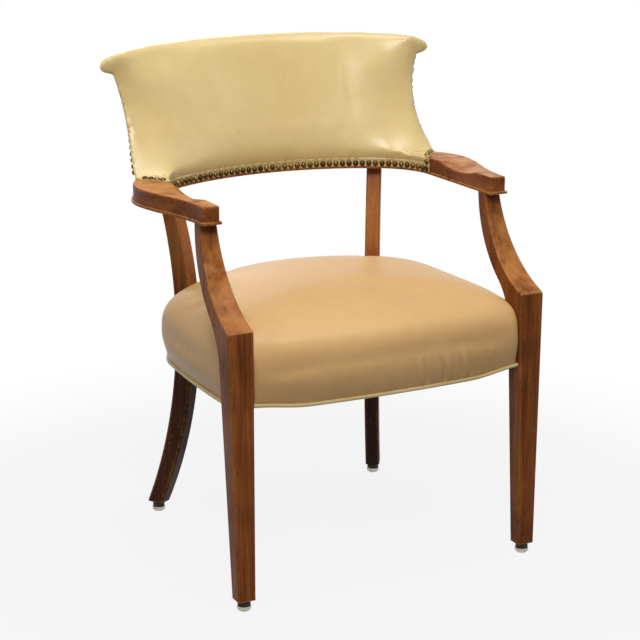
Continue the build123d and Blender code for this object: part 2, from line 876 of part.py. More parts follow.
with BuildPart() as side_rail:
    with BuildSketch(Plane.XY.offset(rail_bottom_z)):
        with BuildLine():
            outer = CenterArc(rail_centre, side_rail_radius, rail_from, rail_to - rail_from)
            inner = CenterArc(
                rail_centre, side_rail_radius - side_rail_thickness, rail_from, rail_to - rail_from
            )
            Line(outer @ 0, inner @ 0)
            Line(outer @ 1, inner @ 1)
        make_face()
    extrude(amount=rail_height + web_thickness)
    add(before_leg_rear(), mode=Mode.SUBTRACT)
    add(front_rail.part, mode=Mode.SUBTRACT)
    add(square_post, mode=Mode.SUBTRACT)
keep_both_sides(side_rail, "seat_rail")


# Corner blocks, cut to the rails and the legs around them
block_z = rail_bottom_z + (rail_height - corner_block_height) / 2
front_block_y = front_rail_face_y + front_rail_thickness
back_block_y = back_rail_face_y - back_rail_thickness
with BuildPart() as corner_block:
    with BuildSketch(Plane.XY.offset(block_z)):
        with BuildLine():
            Polyline(
                (knuckle_inner_x - corner_block_reach, front_block_y),
                (side_rail_front_x, front_block_y),
                (side_rail_front_x, front_block_y + corner_block_reach),
                close=True,
            )
        make_face()
        with BuildLine():
            Polyline(
                (post_waist_x - corner_block_reach, back_block_y),
                (side_rail_back_x, back_block_y),
                (side_rail_back_x + side_rail_thickness / 2, back_block_y - rear_block_reach),
                close=True,
            )
        make_face()
    extrude(amount=corner_block_height)
    add(before_leg_rear(), mode=Mode.SUBTRACT)
    add(side_rail.part, mode=Mode.SUBTRACT)
    add(square_post, mode=Mode.SUBTRACT)
with BuildPart() as corner_blocks:
    add(corner_block.part)
    mirror(corner_block.part, about=Plane.YZ)
keep(corner_blocks, "corner_blocks")

# Seat webbing: strips from front to back, and strips across on top of them
with BuildPart() as webbing_long:
    run = back_rail_face_y - front_rail_face_y
    with BuildSketch(Plane.XY.offset(rail_top_z)):
        with Locations((0, (back_rail_face_y + front_rail_face_y) / 2)):
            with GridLocations(web_pitch_x, 1, web_count, 1):
                Rectangle(web_width, run)
    extrude(amount=web_thickness)
    add(both_posts.part, mode=Mode.SUBTRACT)
keep(webbing_long, "seat_webbing_long")

with BuildPart() as webbing_cross:
    with BuildSketch(Plane.XY.offset(rail_top_z + web_thickness)):
        with BuildLine():
            right = CenterArc(rail_centre, side_rail_radius, rail_from, rail_to - rail_from)
            left = CenterArc(
                (-rail_centre[0], rail_centre[1]), side_rail_radius, 180 - rail_to, rail_to - rail_from
            )
            Line(right @ 0, left @ 1)
            Line(right @ 1, left @ 0)
        make_face()
        with BuildSketch(mode=Mode.INTERSECT):
            with Locations((0, web_middle_y)):
                with GridLocations(1, web_pitch_y, 1, web_count):
                    Rectangle(2 * reach, web_width)
    extrude(amount=web_thickness)
keep(webbing_cross, "seat_webbing_cross")

# Foam over the webbing, filling the cover
foam_z = rail_top_z + 2 * web_thickness
with BuildPart() as foam:
    add(cushion_room)
    split(bisect_by=Plane.XY.offset(foam_z), keep=Keep.TOP)
    add(leg_notches.part, mode=Mode.SUBTRACT)
keep(foam, "seat_foam")

# Welt cord round the lower edge of the seat, in the four stretches between the legs
with BuildPart() as welt:
    with BuildLine(Plane.XY.offset(rail_bottom_z - welt_diameter / 2 - welt_gap)) as welt_path:
        seat_outline(seat_foot_scale)
    with BuildSketch(Plane(origin=welt_path.line @ 0, z_dir=welt_path.line % 0)):
        Circle(welt_diameter / 2)
    sweep(path=welt_path.line)
    add(leg_notches.part, mode=Mode.SUBTRACT)
keep(welt, "seat_welt")

# Dust cover tacked under the rails
with BuildPart() as dust_cover:
    with BuildSketch(Plane.XY.offset(rail_bottom_z - dust_cover_thickness)):
        with BuildLine():
            seat_outline(seat_foot_scale - (welt_diameter + seat_cover_thickness) / 2 / seat_half_width)
        make_face()
    extrude(amount=dust_cover_thickness)
    add(leg_notches.part, mode=Mode.SUBTRACT)
keep(dust_cover, "dust_cover")

# Decorative nail: a faceted dome
with BuildPart() as nail:
    with BuildSketch():
        RegularPolygon(nail_diameter / 2, nail_sides)
    extrude(amount=nail_height, taper=nail_bevel)

nail_z = bead_top_z + nail_diameter / 2 + nail_gap


# Places along a line at the nail pitch, from half a nail in at both ends
def even_places(line):
    count = round((line.length - nail_diameter) / nail_pitch)
    inset = nail_diameter / 2 / line.length
    return [inset + (1 - 2 * inset) * step / count for step in range(count + 1)]


# Nail that stands on a face at a point, looking along the outward direction
def nail_place(point, out):
    return Plane(origin=point + out * nail_gap, z_dir=out).location


# Row of nails along a run of the bow, facing in or out
def bow_row(offset, facing, front_y):
    with BuildLine(Plane.XY.offset(nail_z), mode=Mode.PRIVATE) as line:
        bow.run(offset, front_y)
    row = line.wire()
    places = []
    for share in even_places(row):
        along = row.tangent_at(share)
        places.append(nail_place(row.position_at(share), Vector(along.Y, -along.X, 0) * facing))
    return places


with BuildPart() as inside_nails:
    with Locations(*bow_row(-vinyl, -1, vinyl_front_y)):
        add(nail.part)
keep(inside_nails, "inside_nails")

with BuildPart() as outside_nails:
    with Locations(*bow_row(bow_width + vinyl, 1, butt_y)):
        add(nail.part)
keep(outside_nails, "outside_nails")

# Nails up the outer front edge of a wing, laid on the outside back
nail_inset = nail_diameter / 2 + nail_margin
wing_row_inset = cover_foot + nail_inset / cos(wing_slope)
wing_row_top = (
    crest_z
    - (crest_apex_y - wing_top_y) * tan(radians(crest_slope))
    - roll_radius
    - roll_drop
    - vinyl
    - nail_margin
)


def wing_row():
    with BuildLine(Plane.YZ, mode=Mode.PRIVATE) as line:
        wing_sweep(wing_row_inset, wing_row_top)
    row = line.wire()
    places = []
    for share in even_places(row):
        look = Axis(row.position_at(share) + Vector(reach, 0, 0), (-1, 0, 0))
        hits = outside_back.part.find_intersection_points(look)
        point, out = max(hits, key=lambda hit: hit[0].X)
        places.append(nail_place(point, out if out.X > 0 else -out))
    return places


with BuildPart() as wing_nails:
    with Locations(*wing_row()):
        add(nail.part)
keep_both_sides(wing_nails, "wing_nails")


# Nails along the slanting edge of the flap on an arm, and one more on its inner face
def flap_row():
    inner = Vector(*flap_inner)
    along = (Vector(*flap_outer) - inner).normalized()
    line = inner + Vector(-along.Y, along.X) * nail_inset
    first = (inner.X + nail_inset - line.X) / along.X
    last = (wing_foot_y - nail_inset - line.Y) / along.Y
    count = round((last - first) / nail_pitch)
    lift = Vector(0, 0, arm_top_z + vinyl)
    up = Vector(0, 0, 1)
    places = []
    for step in range(count + 1):
        run = first + (last - first) * step / count
        places.append(nail_place(line + along * run + lift, up))
    return places


with BuildPart() as arm_nails:
    with Locations(*flap_row()):
        add(nail.part)
    with Locations(Location((0, 0, nail_pitch)) * bow_row(-vinyl, -1, vinyl_front_y)[0]):
        add(nail.part)
keep_both_sides(arm_nails, "arm_nails")

# Cushioned glides: a rubber button with a rounded underside, its nail, and a cupped base
with BuildPart() as glide_cushion:
    with Locations((0, 0, leg_bottom_z)):
        Sphere(cushion_ball_radius)
        Cylinder(
            cushion_diameter / 2,
            cushion_ball_radius,
            align=(Align.CENTER, Align.CENTER, Align.MAX),
            mode=Mode.INTERSECT,
        )
    Cylinder(
        glide_nail_head / 2 + dowel_clearance,
        glide_nail_head_z + glide_nail_head_height,
        align=(Align.CENTER, Align.CENTER, Align.MIN),
        mode=Mode.SUBTRACT,
    )
    Cylinder(
        glide_hole, leg_bottom_z, align=(Align.CENTER, Align.CENTER, Align.MIN), mode=Mode.SUBTRACT
    )

with BuildPart() as glide_nail:
    with BuildSketch(Plane.XY.offset(glide_nail_head_z)):
        Circle(glide_nail_head / 2)
    extrude(amount=glide_nail_head_height)
    with BuildSketch(Plane.XY.offset(glide_nail_head_z + glide_nail_head_height)):
        Circle(glide_nail_diameter / 2)
    extrude(amount=leg_bottom_z + glide_nail_reach - glide_nail_head_z - glide_nail_head_height)

with BuildPart() as glide_base:
    with BuildSketch(Plane.XZ):
        with BuildLine():
            Polyline(
                (0, 0),
                (glide_floor_radius, 0),
                (glide_diameter / 2, glide_edge_height),
                (glide_diameter / 2, glide_base_height),
                (0, glide_base_height),
                close=True,
            )
        make_face()
    revolve(axis=Axis.Z)
    with Locations((0, 0, leg_bottom_z)):
        Sphere(cushion_ball_radius + glide_gap, mode=Mode.SUBTRACT)

glide_places = [(side * x, y) for x, y in (foot_centre, post_foot) for side in (-1, 1)]

with BuildPart() as glide_cushions:
    with Locations(*glide_places):
        add(glide_cushion.part)
keep(glide_cushions, "glide_cushions")

with BuildPart() as glide_nails:
    with Locations(*glide_places):
        add(glide_nail.part)
keep(glide_nails, "glide_nails")

for end, place in (("front", foot_centre), ("rear", post_foot)):
    with BuildPart() as placed_base:
        with Locations(place):
            add(glide_base.part)
    keep_both_sides(placed_base, f"glide_base_{end}")
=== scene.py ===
import math

import bmesh
import bpy
import numpy as np
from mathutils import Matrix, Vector


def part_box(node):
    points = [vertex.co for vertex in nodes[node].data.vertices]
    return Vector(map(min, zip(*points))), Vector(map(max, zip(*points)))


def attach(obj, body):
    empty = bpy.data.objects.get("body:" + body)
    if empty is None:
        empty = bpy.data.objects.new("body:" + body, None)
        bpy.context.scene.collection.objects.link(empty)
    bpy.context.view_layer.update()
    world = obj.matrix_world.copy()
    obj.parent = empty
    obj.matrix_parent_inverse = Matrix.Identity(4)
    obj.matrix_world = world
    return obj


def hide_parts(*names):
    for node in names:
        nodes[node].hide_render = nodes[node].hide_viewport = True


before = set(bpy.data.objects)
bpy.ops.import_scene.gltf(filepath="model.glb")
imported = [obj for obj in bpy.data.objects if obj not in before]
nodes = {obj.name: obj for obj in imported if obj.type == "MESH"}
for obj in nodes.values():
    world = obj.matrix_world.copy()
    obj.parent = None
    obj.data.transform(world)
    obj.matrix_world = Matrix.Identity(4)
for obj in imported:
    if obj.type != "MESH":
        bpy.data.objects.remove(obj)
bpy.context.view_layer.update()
scene = bpy.context.scene


# Shader graph helpers
def srgb(text):
    parts = [int(text[k : k + 2], 16) / 255 for k in (1, 3, 5)]
    linear = [c / 12.92 if c <= 0.04045 else ((c + 0.055) / 1.055) ** 2.4 for c in parts]
    return (*linear, 1.0)


class Graph:
    def __init__(self, name):
        self.material = bpy.data.materials.new(name)
        self.material.use_nodes = True
        self.tree = self.material.node_tree
        self.shader = self.tree.nodes["Principled BSDF"]

    def put(self, socket, value):
        if isinstance(value, bpy.types.NodeSocket):
            self.tree.links.new(value, socket)
        else:
            socket.default_value = value

    def node(self, kind, output=0, settings=None, **inputs):
        made = self.tree.nodes.new(kind)
        for key, value in (settings or {}).items():
            setattr(made, key, value)
        for key, value in inputs.items():
            index = int(key[1:]) if key[0] == "i" and key[1:].isdigit() else key.replace("_", " ")
            self.put(made.inputs[index], value)
        return made.outputs[output]

    def math(self, operation, first, second):
        return self.node("ShaderNodeMath", 0, {"operation": operation}, i0=first, i1=second)

    def position(self):
        return self.node("ShaderNodeTexCoord", "Object")

    def stretched(self, vector, scale):
        return self.node("ShaderNodeMapping", 0, None, Vector=vector, Scale=scale)

    def noise(self, vector, scale, detail, roughness, distortion=0.0):
        return self.node(
            "ShaderNodeTexNoise", 0, None, Vector=vector, Scale=scale, Detail=detail,
            Roughness=roughness, Distortion=distortion,
        )

    def ramp(self, value, stops):
        made = self.tree.nodes.new("ShaderNodeValToRGB")
        self.put(made.inputs[0], value)
        elements = made.color_ramp.elements
        while len(elements) < len(stops):
            elements.new(0.5)
        for element, (place, colour) in zip(elements, stops):
            element.position = place
            element.color = colour if not isinstance(colour, float) else (colour, colour, colour, 1.0)
        return made.outputs[0]

    def mix(self, factor, first, second):
        made = self.tree.nodes.new("ShaderNodeMix")
        made.data_type = "RGBA"
        self.put(made.inputs[0], factor)
        self.put(made.inputs[6], first)
        self.put(made.inputs[7], second)
        return made.outputs[2]

    def between(self, value, low, high):
        return self.node(
            "ShaderNodeMapRange", 0, {"interpolation_type": "SMOOTHSTEP"}, i0=value, i1=low, i2=high
        )

    def bump(self, height, strength, distance, normal=None):
        inputs = {"Strength": strength, "Distance": distance, "Height": height}
        if normal is not None:
            inputs["Normal"] = normal
        return self.node("ShaderNodeBump", 0, None, **inputs)

    def finish(self, **sockets):
        for key, value in sockets.items():
            self.put(self.shader.inputs[key.replace("_", " ")], value)
        return self.material


# Stained hardwood with grain along one direction, worn edges and scratches; where asked, paler upward faces
# that are part wear and part painted highlight, and on the rear legs painted light above the seat and painted
# shade below it
def walnut(name, grain, top_wear_and_highlight=0.0, shade=0.0, painted_post_light_and_shade=False, wear_and_highlight_from=0.75):
    g = Graph(name)
    place = g.position()
    along = {"X": (0.05, 1, 1), "Y": (1, 0.05, 1), "Z": (1, 1, 0.05)}[grain]
    fine = {"X": (0.02, 1, 1), "Y": (1, 0.02, 1), "Z": (1, 1, 0.02)}[grain]
    figure = g.noise(g.stretched(place, along), 70, 6, 0.6, 0.6)
    pores = g.noise(g.stretched(place, fine), 650, 3, 0.6)
    patches = g.noise(place, 9, 4, 0.6)
    colour = g.ramp(
        figure,
        [(0.25, srgb("#54290F")), (0.48, srgb("#85481F")), (0.62, srgb("#985828")), (0.85, srgb("#B37034"))],
    )
    dark = g.between(pores, 0.52, 0.68)
    colour = g.mix(g.math("MULTIPLY", dark, 0.55), colour, srgb("#35190B"))
    stain = g.between(patches, 0.42, 0.7)
    colour = g.mix(g.math("MULTIPLY", stain, 0.45), colour, srgb("#3F1F10"))
    if shade:
        colour = g.mix(shade, colour, srgb("#2A130A"))
    height = g.node("ShaderNodeSeparateXYZ", 2, None, Vector=place)
    # Rear legs: painted light on the posts above the seat, and painted shade under the seat that darkens
    # towards the floor
    if painted_post_light_and_shade:
        colour = g.mix(g.math("MULTIPLY", g.between(height, 0.4, 0.47), 0.4), colour, srgb("#BC7C48"))
        colour = g.mix(g.math("MULTIPLY", g.between(height, 0.42, 0.27), 0.75), colour, srgb("#1E0D07"))
    normal = g.node("ShaderNodeNewGeometry", "Normal")
    rounded = g.node("ShaderNodeBevel", 0, {"samples": 6}, Radius=0.004)
    facing = g.node("ShaderNodeVectorMath", 1, {"operation": "DOT_PRODUCT"}, i0=normal, i1=rounded)
    edge = g.between(g.math("SUBTRACT", 1.0, facing), 0.004, 0.04)
    chips = g.between(g.noise(place, 120, 5, 0.65), 0.36, 0.62)
    worn = g.math("MULTIPLY", g.math("MULTIPLY", edge, chips), 0.75)
    colour = g.mix(worn, colour, srgb("#B97F4B"))
    # Paler upward faces: partly rubbed wear, partly a painted highlight where light falls from above
    if top_wear_and_highlight:
        up = g.node("ShaderNodeSeparateXYZ", 2, None, Vector=normal)
        rubbed_and_lit = g.between(up, wear_and_highlight_from, wear_and_highlight_from + 0.22)
        blotch = g.between(g.noise(place, 30, 5, 0.6), 0.3, 0.62)
        rubbed_and_lit = g.math("MULTIPLY", g.math("MULTIPLY", rubbed_and_lit, blotch), top_wear_and_highlight)
        colour = g.mix(rubbed_and_lit, colour, srgb("#BE8248"))
    slant = g.node("ShaderNodeMapping", 0, None, Vector=place, Rotation=(0.5, 0.9, 0.3), Scale=(1, 1, 0.03))
    lines = g.between(g.noise(slant, 330, 2, 0.5), 0.735, 0.76)
    flecks = g.between(g.noise(place, 260, 2, 0.5), 0.72, 0.76)
    near_floor = g.math("ADD", g.math("MULTIPLY", g.between(height, 0.42, 0.05), 0.8), 0.2)
    marks = g.math("MULTIPLY", g.math("MAXIMUM", lines, flecks), near_floor)
    colour = g.mix(g.math("MULTIPLY", marks, 0.75), colour, srgb("#D7B58C"))
    rough = g.ramp(patches, [(0.3, 0.3), (0.7, 0.5)])
    rough = g.mix(worn, rough, (0.55, 0.55, 0.55, 1.0))
    depth = g.math("ADD", g.math("MULTIPLY", pores, -0.5), g.math("MULTIPLY", marks, -0.6))
    return g.finish(
        Base_Color=colour,
        Roughness=rough,
        Normal=g.bump(depth, 0.25, 0.0004),
        Specular_IOR_Level=0.07,
        Coat_Weight=0.02,
        Coat_Roughness=0.2,
    )


# Smooth upholstery vinyl with a fine embossed grain and slight mottling
def vinyl(name, light, middle, dark, roughness, gloss):
    g = Graph(name)
    place = g.position()
    cloud = g.noise(place, 5, 4, 0.6)
    mottle = g.noise(place, 38, 5, 0.65)
    blend = g.math("ADD", g.math("MULTIPLY", cloud, 0.7), g.math("MULTIPLY", mottle, 0.3))
    colour = g.ramp(blend, [(0.32, srgb(dark)), (0.5, srgb(middle)), (0.68, srgb(light))])
    specks = g.between(g.noise(place, 420, 2, 0.5), 0.7, 0.78)
    colour = g.mix(g.math("MULTIPLY", specks, 0.25), colour, srgb("#7C6238"))
    cells = g.node(
        "ShaderNodeTexVoronoi", 0, {"feature": "SMOOTH_F1"}, Vector=place, Scale=850, Smoothness=0.6
    )
    creases = g.noise(place, 240, 4, 0.6)
    grain = g.math("ADD", g.math("MULTIPLY", cells, 0.6), g.math("MULTIPLY", creases, 0.5))
    waves = g.noise(place, 26, 3, 0.5)
    normal = g.bump(waves, 0.12, 0.002)
    rough = g.math("ADD", roughness - 0.06, g.math("MULTIPLY", mottle, 0.12))
    normal = g.bump(grain, 0.12, 0.0002, normal)
    return g.finish(Base_Color=colour, Roughness=rough, Normal=normal, Specular_IOR_Level=gloss)


# Woven cloth or webbing of crossing threads
def woven(name, light, dark, threads):
    g = Graph(name)
    place = g.position()
    warp, weft = (
        g.node(
            "ShaderNodeTexWave", 0, {"bands_direction": direction},
            Vector=place, Scale=threads, Distortion=1.0, Detail=2.0,
        )
        for direction in ("X", "Y")
    )
    weave = g.math("MULTIPLY", warp, weft)
    slub = g.noise(place, 60, 4, 0.6)
    colour = g.mix(weave, srgb(dark), srgb(light))
    colour = g.mix(g.math("MULTIPLY", slub, 0.35), colour, srgb(dark))
    return g.finish(Base_Color=colour, Roughness=0.9, Normal=g.bump(weave, 0.5, 0.0006))


# Darkened brass with a different shade on each nail
def antique_brass(name):
    g = Graph(name)
    place = g.position()
    shade = g.node("ShaderNodeAttribute", "Fac", {"attribute_name": "shade"})
    tarnish = g.noise(place, 380, 4, 0.6)
    mixed = g.math("ADD", g.math("MULTIPLY", shade, 0.5), g.math("MULTIPLY", tarnish, 0.5))
    colour = g.ramp(mixed, [(0.25, srgb("#2A1E0E")), (0.5, srgb("#56421F")), (0.75, srgb("#8C7242"))])
    rough = g.ramp(tarnish, [(0.3, 0.14), (0.7, 0.28)])
    return g.finish(Base_Color=colour, Metallic=1.0, Roughness=rough, Normal=g.bump(tarnish, 0.1, 0.0003))


# Plated steel that is dulled by dust and scuffs
def nickel(name):
    g = Graph(name)
    place = g.position()
    scuffs = g.noise(g.stretched(place, (1, 1, 6)), 500, 4, 0.6)
    dust = g.between(g.noise(place, 160, 4, 0.6), 0.45, 0.7)
    colour = g.mix(g.math("MULTIPLY", dust, 0.5), srgb("#B9B4A8"), srgb("#6A6255"))
    rough = g.ramp(scuffs, [(0.3, 0.2), (0.7, 0.5)])
    return g.finish(Base_Color=colour, Metallic=1.0, Roughness=rough, Normal=g.bump(scuffs, 0.08, 0.0002))


def rubber(name):
    g = Graph(name)
    place = g.position()
    dust = g.noise(place, 300, 4, 0.6)
    colour = g.mix(dust, srgb("#0E0D0C"), srgb("#2B2824"))
    return g.finish(Base_Color=colour, Roughness=0.75, Normal=g.bump(dust, 0.3, 0.0003))


# Bare sawn hardwood of the hidden frame
def sawn_wood(name):
    g = Graph(name)
    place = g.position()
    figure = g.noise(g.stretched(place, (1, 0.08, 1)), 60, 5, 0.6)
    colour = g.ramp(figure, [(0.3, srgb("#B08A5A")), (0.7, srgb("#D6B888"))])
    saw = g.noise(g.stretched(place, (1, 12, 1)), 60, 3, 0.6)
    return g.finish(Base_Color=colour, Roughness=0.8, Normal=g.bump(saw, 0.3, 0.0005))


# On the front legs the low threshold makes the pale tops of the supports mostly a painted highlight, with
# some wear
leg_wood = walnut("walnut_legs", "Z", 0.55, wear_and_highlight_from=0.22)
# Rear legs carry painted light on the posts and painted shade under the seat
rear_wood = walnut("walnut_rear_legs", "Z", painted_post_light_and_shade=True)
arm_wood = walnut("walnut_arms", "Y", 0.85, 0.1)
bow_wood = walnut("walnut_bow", "X", 0.0, 0.1)
back_vinyl = vinyl("back_vinyl", "#D2BB84", "#CCB47B", "#C6AD72", 0.3, 0.42)
seat_vinyl = vinyl("seat_vinyl", "#CDA670", "#C89F69", "#C29862", 0.4, 0.25)
welt_vinyl = vinyl("welt_vinyl", "#DCC792", "#D0B982", "#C2A970", 0.4, 0.3)
brass = antique_brass("antique_brass")
plated = nickel("nickel_plate")
black_rubber = rubber("black_rubber")
frame_wood = sawn_wood("frame_wood")
jute = woven("jute", "#A88A58", "#6E5732", 900)
cambric = woven("black_cambric", "#1E1D1B", "#0C0B0A", 1500)


def dress(name, material):
    mesh = nodes[name].data
    mesh.materials.clear()
    mesh.materials.append(material)


for side in ("left", "right"):
    dress(f"front_leg_{side}", leg_wood)
    dress(f"rear_leg_{side}", rear_wood)
    dress(f"arm_{side}", arm_wood)
    dress(f"back_stile_{side}", frame_wood)
    dress(f"seat_rail_{side}", frame_wood)
    for end in ("front", "rear"):
        dress(f"glide_base_{end}_{side}", plated)
dress("bow_rail", bow_wood)
for name in ("crest_rail", "seat_rail_front", "seat_rail_back", "corner_blocks", "frame_dowels"):
    dress(name, frame_wood)
for name in ("back_burlap", "seat_webbing_long", "seat_webbing_cross"):
    dress(name, jute)
dress("glide_cushions", black_rubber)
dress("glide_nails", plated)


# Mesh helpers
SAME_POINT = 1e-6


def shade_smooth(mesh):
    mesh.polygons.foreach_set("use_smooth", [True] * len(mesh.polygons))


def new_piece(name, points, faces, material, smooth=True):
    mesh = bpy.data.meshes.new(name)
    mesh.from_pydata([tuple(p) for p in points], [], [tuple(f) for f in faces])
    mesh.update()
    if smooth:
        shade_smooth(mesh)
    piece = bpy.data.objects.new(name, mesh)
    scene.collection.objects.link(piece)
    mesh.materials.append(material)
    return piece


def points_of(piece):
    places = np.zeros(len(piece.data.vertices) * 3)
    piece.data.vertices.foreach_get("co", places)
    return places.reshape(-1, 3)


def place_points(piece, places):
    piece.data.vertices.foreach_set("co", places.ravel())
    piece.data.update()


def apply_modifiers(piece):
    depsgraph = bpy.context.evaluated_depsgraph_get()
    mesh = bpy.data.meshes.new_from_object(piece.evaluated_get(depsgraph))
    old = piece.data
    piece.modifiers.clear()
    piece.data = mesh
    bpy.data.meshes.remove(old)


# Groups of points that hang together
def groups_of(graph):
    seen = set()
    groups = []
    for start in graph.verts:
        if start in seen:
            continue
        stack = [start]
        seen.add(start)
        group = []
        while stack:
            vert = stack.pop()
            group.append(vert)
            for link in vert.link_edges:
                other = link.other_vert(vert)
                if other not in seen:
                    seen.add(other)
                    stack.append(other)
        groups.append(group)
    return groups


# Islands of a CAD node, as arrays of points
def islands(name):
    graph = bmesh.new()
    graph.from_mesh(nodes[name].data)
    bmesh.ops.remove_doubles(graph, verts=graph.verts, dist=SAME_POINT)
    found = [np.array([vert.co.copy() for vert in group]) for group in groups_of(graph)]
    graph.free()
    return found


# Domed nail heads on the places of the faceted ones
NAIL_RINGS = ((1.0, 0.0), (0.99, 0.12), (0.9, 0.42), (0.74, 0.68), (0.5, 0.87), (0.25, 0.97))
NAIL_STEPS = 20
NAIL_RISE = 4.1e-3
NAIL_RADIUS = 4.95e-3
NAIL_SEED = 40
NAIL_ROWS = (
    "inside_nails", "outside_nails",
    "wing_nails_left", "wing_nails_right",
    "arm_nails_left", "arm_nails_right",
)


def nail_frames(name):
    frames = []
    for group in islands(name):
        centre = group.mean(axis=0)
        spread = np.linalg.eigh(np.cov((group - centre).T))
        axis = spread[1][:, 0]
        level = (group - centre) @ axis
        low = group[level < level.mean()]
        high = group[level >= level.mean()]
        low_reach = np.linalg.norm(low - low.mean(0), axis=1).max()
        high_reach = np.linalg.norm(high - high.mean(0), axis=1).max()
        if high_reach > low_reach:
            axis = -axis
        base = centre + axis * ((group - centre) @ axis).min()
        frames.append((Vector(base), Vector(axis).normalized()))
    return frames


def nail_row(name, seed):
    draw = np.random.default_rng(seed)
    points = []
    faces = []
    shades = []
    for base, axis in nail_frames(name):
        side = axis.orthogonal().normalized()
        other = axis.cross(side)
        tone = float(draw.uniform(0.15, 0.85))
        radius = NAIL_RADIUS * float(draw.uniform(0.96, 1.0))
        rise = NAIL_RISE * float(draw.uniform(0.9, 1.05))
        first = len(points)
        for share, height in NAIL_RINGS:
            for step in range(NAIL_STEPS):
                turn = 2 * math.pi * step / NAIL_STEPS
                out = side * math.cos(turn) + other * math.sin(turn)
                points.append(base + out * radius * share + axis * rise * height)
                shades.append(tone)
        points.append(base + axis * rise)
        shades.append(tone)
        for ring in range(len(NAIL_RINGS) - 1):
            for step in range(NAIL_STEPS):
                near = first + ring * NAIL_STEPS
                far = near + NAIL_STEPS
                follow = (step + 1) % NAIL_STEPS
                faces.append((near + step, near + follow, far + follow, far + step))
        last = first + (len(NAIL_RINGS) - 1) * NAIL_STEPS
        crown = len(points) - 1
        for step in range(NAIL_STEPS):
            faces.append((last + step, last + (step + 1) % NAIL_STEPS, crown))
        faces.append(tuple(first + step for step in reversed(range(NAIL_STEPS))))
    piece = new_piece(f"brass_{name}", points, faces, brass)
    layer = piece.data.attributes.new("shade", "FLOAT", "POINT")
    layer.data.foreach_set("value", shades)
    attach(piece, "chair")
    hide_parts(name)


for index, name in enumerate(NAIL_ROWS):
    nail_row(name, NAIL_SEED + index)


# Cloth pressed outwards from inside, with a cap on how far a point may go
CLOTH_PRESSURE = 4.0
CLOTH_STRETCH = 25
CLOTH_BEND = 2.0
SMOOTH_FACTOR = 0.5


def inflate(piece, cap, pinned, frames):
    rest = points_of(piece)
    group = piece.vertex_groups.new(name="held")
    for index in np.nonzero(pinned)[0]:
        group.add([int(index)], 1.0, "REPLACE")
    cloth = piece.modifiers.new("cloth", "CLOTH")
    cloth.settings.use_pressure = True
    cloth.settings.uniform_pressure_force = CLOTH_PRESSURE
    cloth.settings.tension_stiffness = CLOTH_STRETCH
    cloth.settings.compression_stiffness = CLOTH_STRETCH
    cloth.settings.bending_stiffness = CLOTH_BEND
    cloth.settings.effector_weights.gravity = 0
    cloth.collision_settings.use_collision = False
    cloth.settings.vertex_group_mass = "held"
    cloth.point_cache.frame_start = 1
    cloth.point_cache.frame_end = frames
    for number in range(1, frames + 1):
        scene.frame_set(number)
    apply_modifiers(piece)
    scene.frame_set(1)
    moved = points_of(piece) - rest
    length = np.linalg.norm(moved, axis=1, keepdims=True)
    moved *= np.minimum(1.0, cap / np.maximum(length, 1e-9))
    place_points(piece, rest + moved)


def smooth(piece, rounds, only):
    graph = bmesh.new()
    graph.from_mesh(piece.data)
    graph.verts.ensure_lookup_table()
    verts = [graph.verts[int(k)] for k in np.nonzero(only)[0]]
    for _ in range(rounds):
        bmesh.ops.smooth_vert(
            graph, verts=verts, factor=SMOOTH_FACTOR, use_axis_x=True, use_axis_y=True, use_axis_z=True
        )
    graph.to_mesh(piece.data)
    graph.free()
    piece.data.update()


def remesh(piece, voxel):
    modifier = piece.modifiers.new("remesh", "REMESH")
    modifier.mode = "VOXEL"
    modifier.voxel_size = voxel
    modifier.use_smooth_shade = True
    apply_modifiers(piece)


def keep_largest(piece):
    graph = bmesh.new()
    graph.from_mesh(piece.data)
    keep = set(max(groups_of(graph), key=len))
    bmesh.ops.delete(graph, geom=[v for v in graph.verts if v not in keep], context="VERTS")
    graph.to_mesh(piece.data)
    graph.free()


# Copy of a CAD node's mesh, merged, and cut at a height if asked
def copy_of(node, name, above=None, below=None):
    graph = bmesh.new()
    graph.from_mesh(nodes[node].data)
    bmesh.ops.remove_doubles(graph, verts=graph.verts, dist=SAME_POINT)
    for height, upper in ((above, True), (below, False)):
        if height is None:
            continue
        cut = bmesh.ops.bisect_plane(
            graph,
            geom=graph.verts[:] + graph.edges[:] + graph.faces[:],
            plane_co=(0, 0, height),
            plane_no=(0, 0, 1),
            clear_inner=upper,
            clear_outer=not upper,
        )
        rim = [e for e in cut["geom_cut"] if isinstance(e, bmesh.types.BMEdge)]
        bmesh.ops.holes_fill(graph, edges=rim, sides=0)
    mesh = bpy.data.meshes.new(name)
    graph.to_mesh(mesh)
    graph.free()
    piece = bpy.data.objects.new(name, mesh)
    scene.collection.objects.link(piece)
    return piece


# Box to cut with, between two corners
def block(name, low, high):
    points = [(x, y, z) for z in (low[2], high[2]) for y in (low[1], high[1]) for x in (low[0], high[0])]
    faces = [(0, 2, 3, 1), (4, 5, 7, 6), (0, 1, 5, 4), (2, 6, 7, 3), (0, 4, 6, 2), (1, 3, 7, 5)]
    return new_piece(name, points, faces, brass, smooth=False)


# Copy of a leg, a little larger than the leg itself
def leg_cutter(node, room):
    piece = copy_of(node, f"cutter_{node}")
    graph = bmesh.new()
    graph.from_mesh(piece.data)
    bmesh.ops.recalc_face_normals(graph, faces=graph.faces)
    pushes = {vert: vert.normal.copy() for vert in graph.verts}
    for vert, push in pushes.items():
        vert.co += push * room
    graph.to_mesh(piece.data)
    graph.free()
    return piece


def cut_by(piece, cutters):
    for cutter in cutters:
        modifier = piece.modifiers.new("cut", "BOOLEAN")
        modifier.operation = "DIFFERENCE"
        modifier.solver = "EXACT"
        modifier.object = cutter
    apply_modifiers(piece)
    for cutter in cutters:
        bpy.data.objects.remove(cutter)


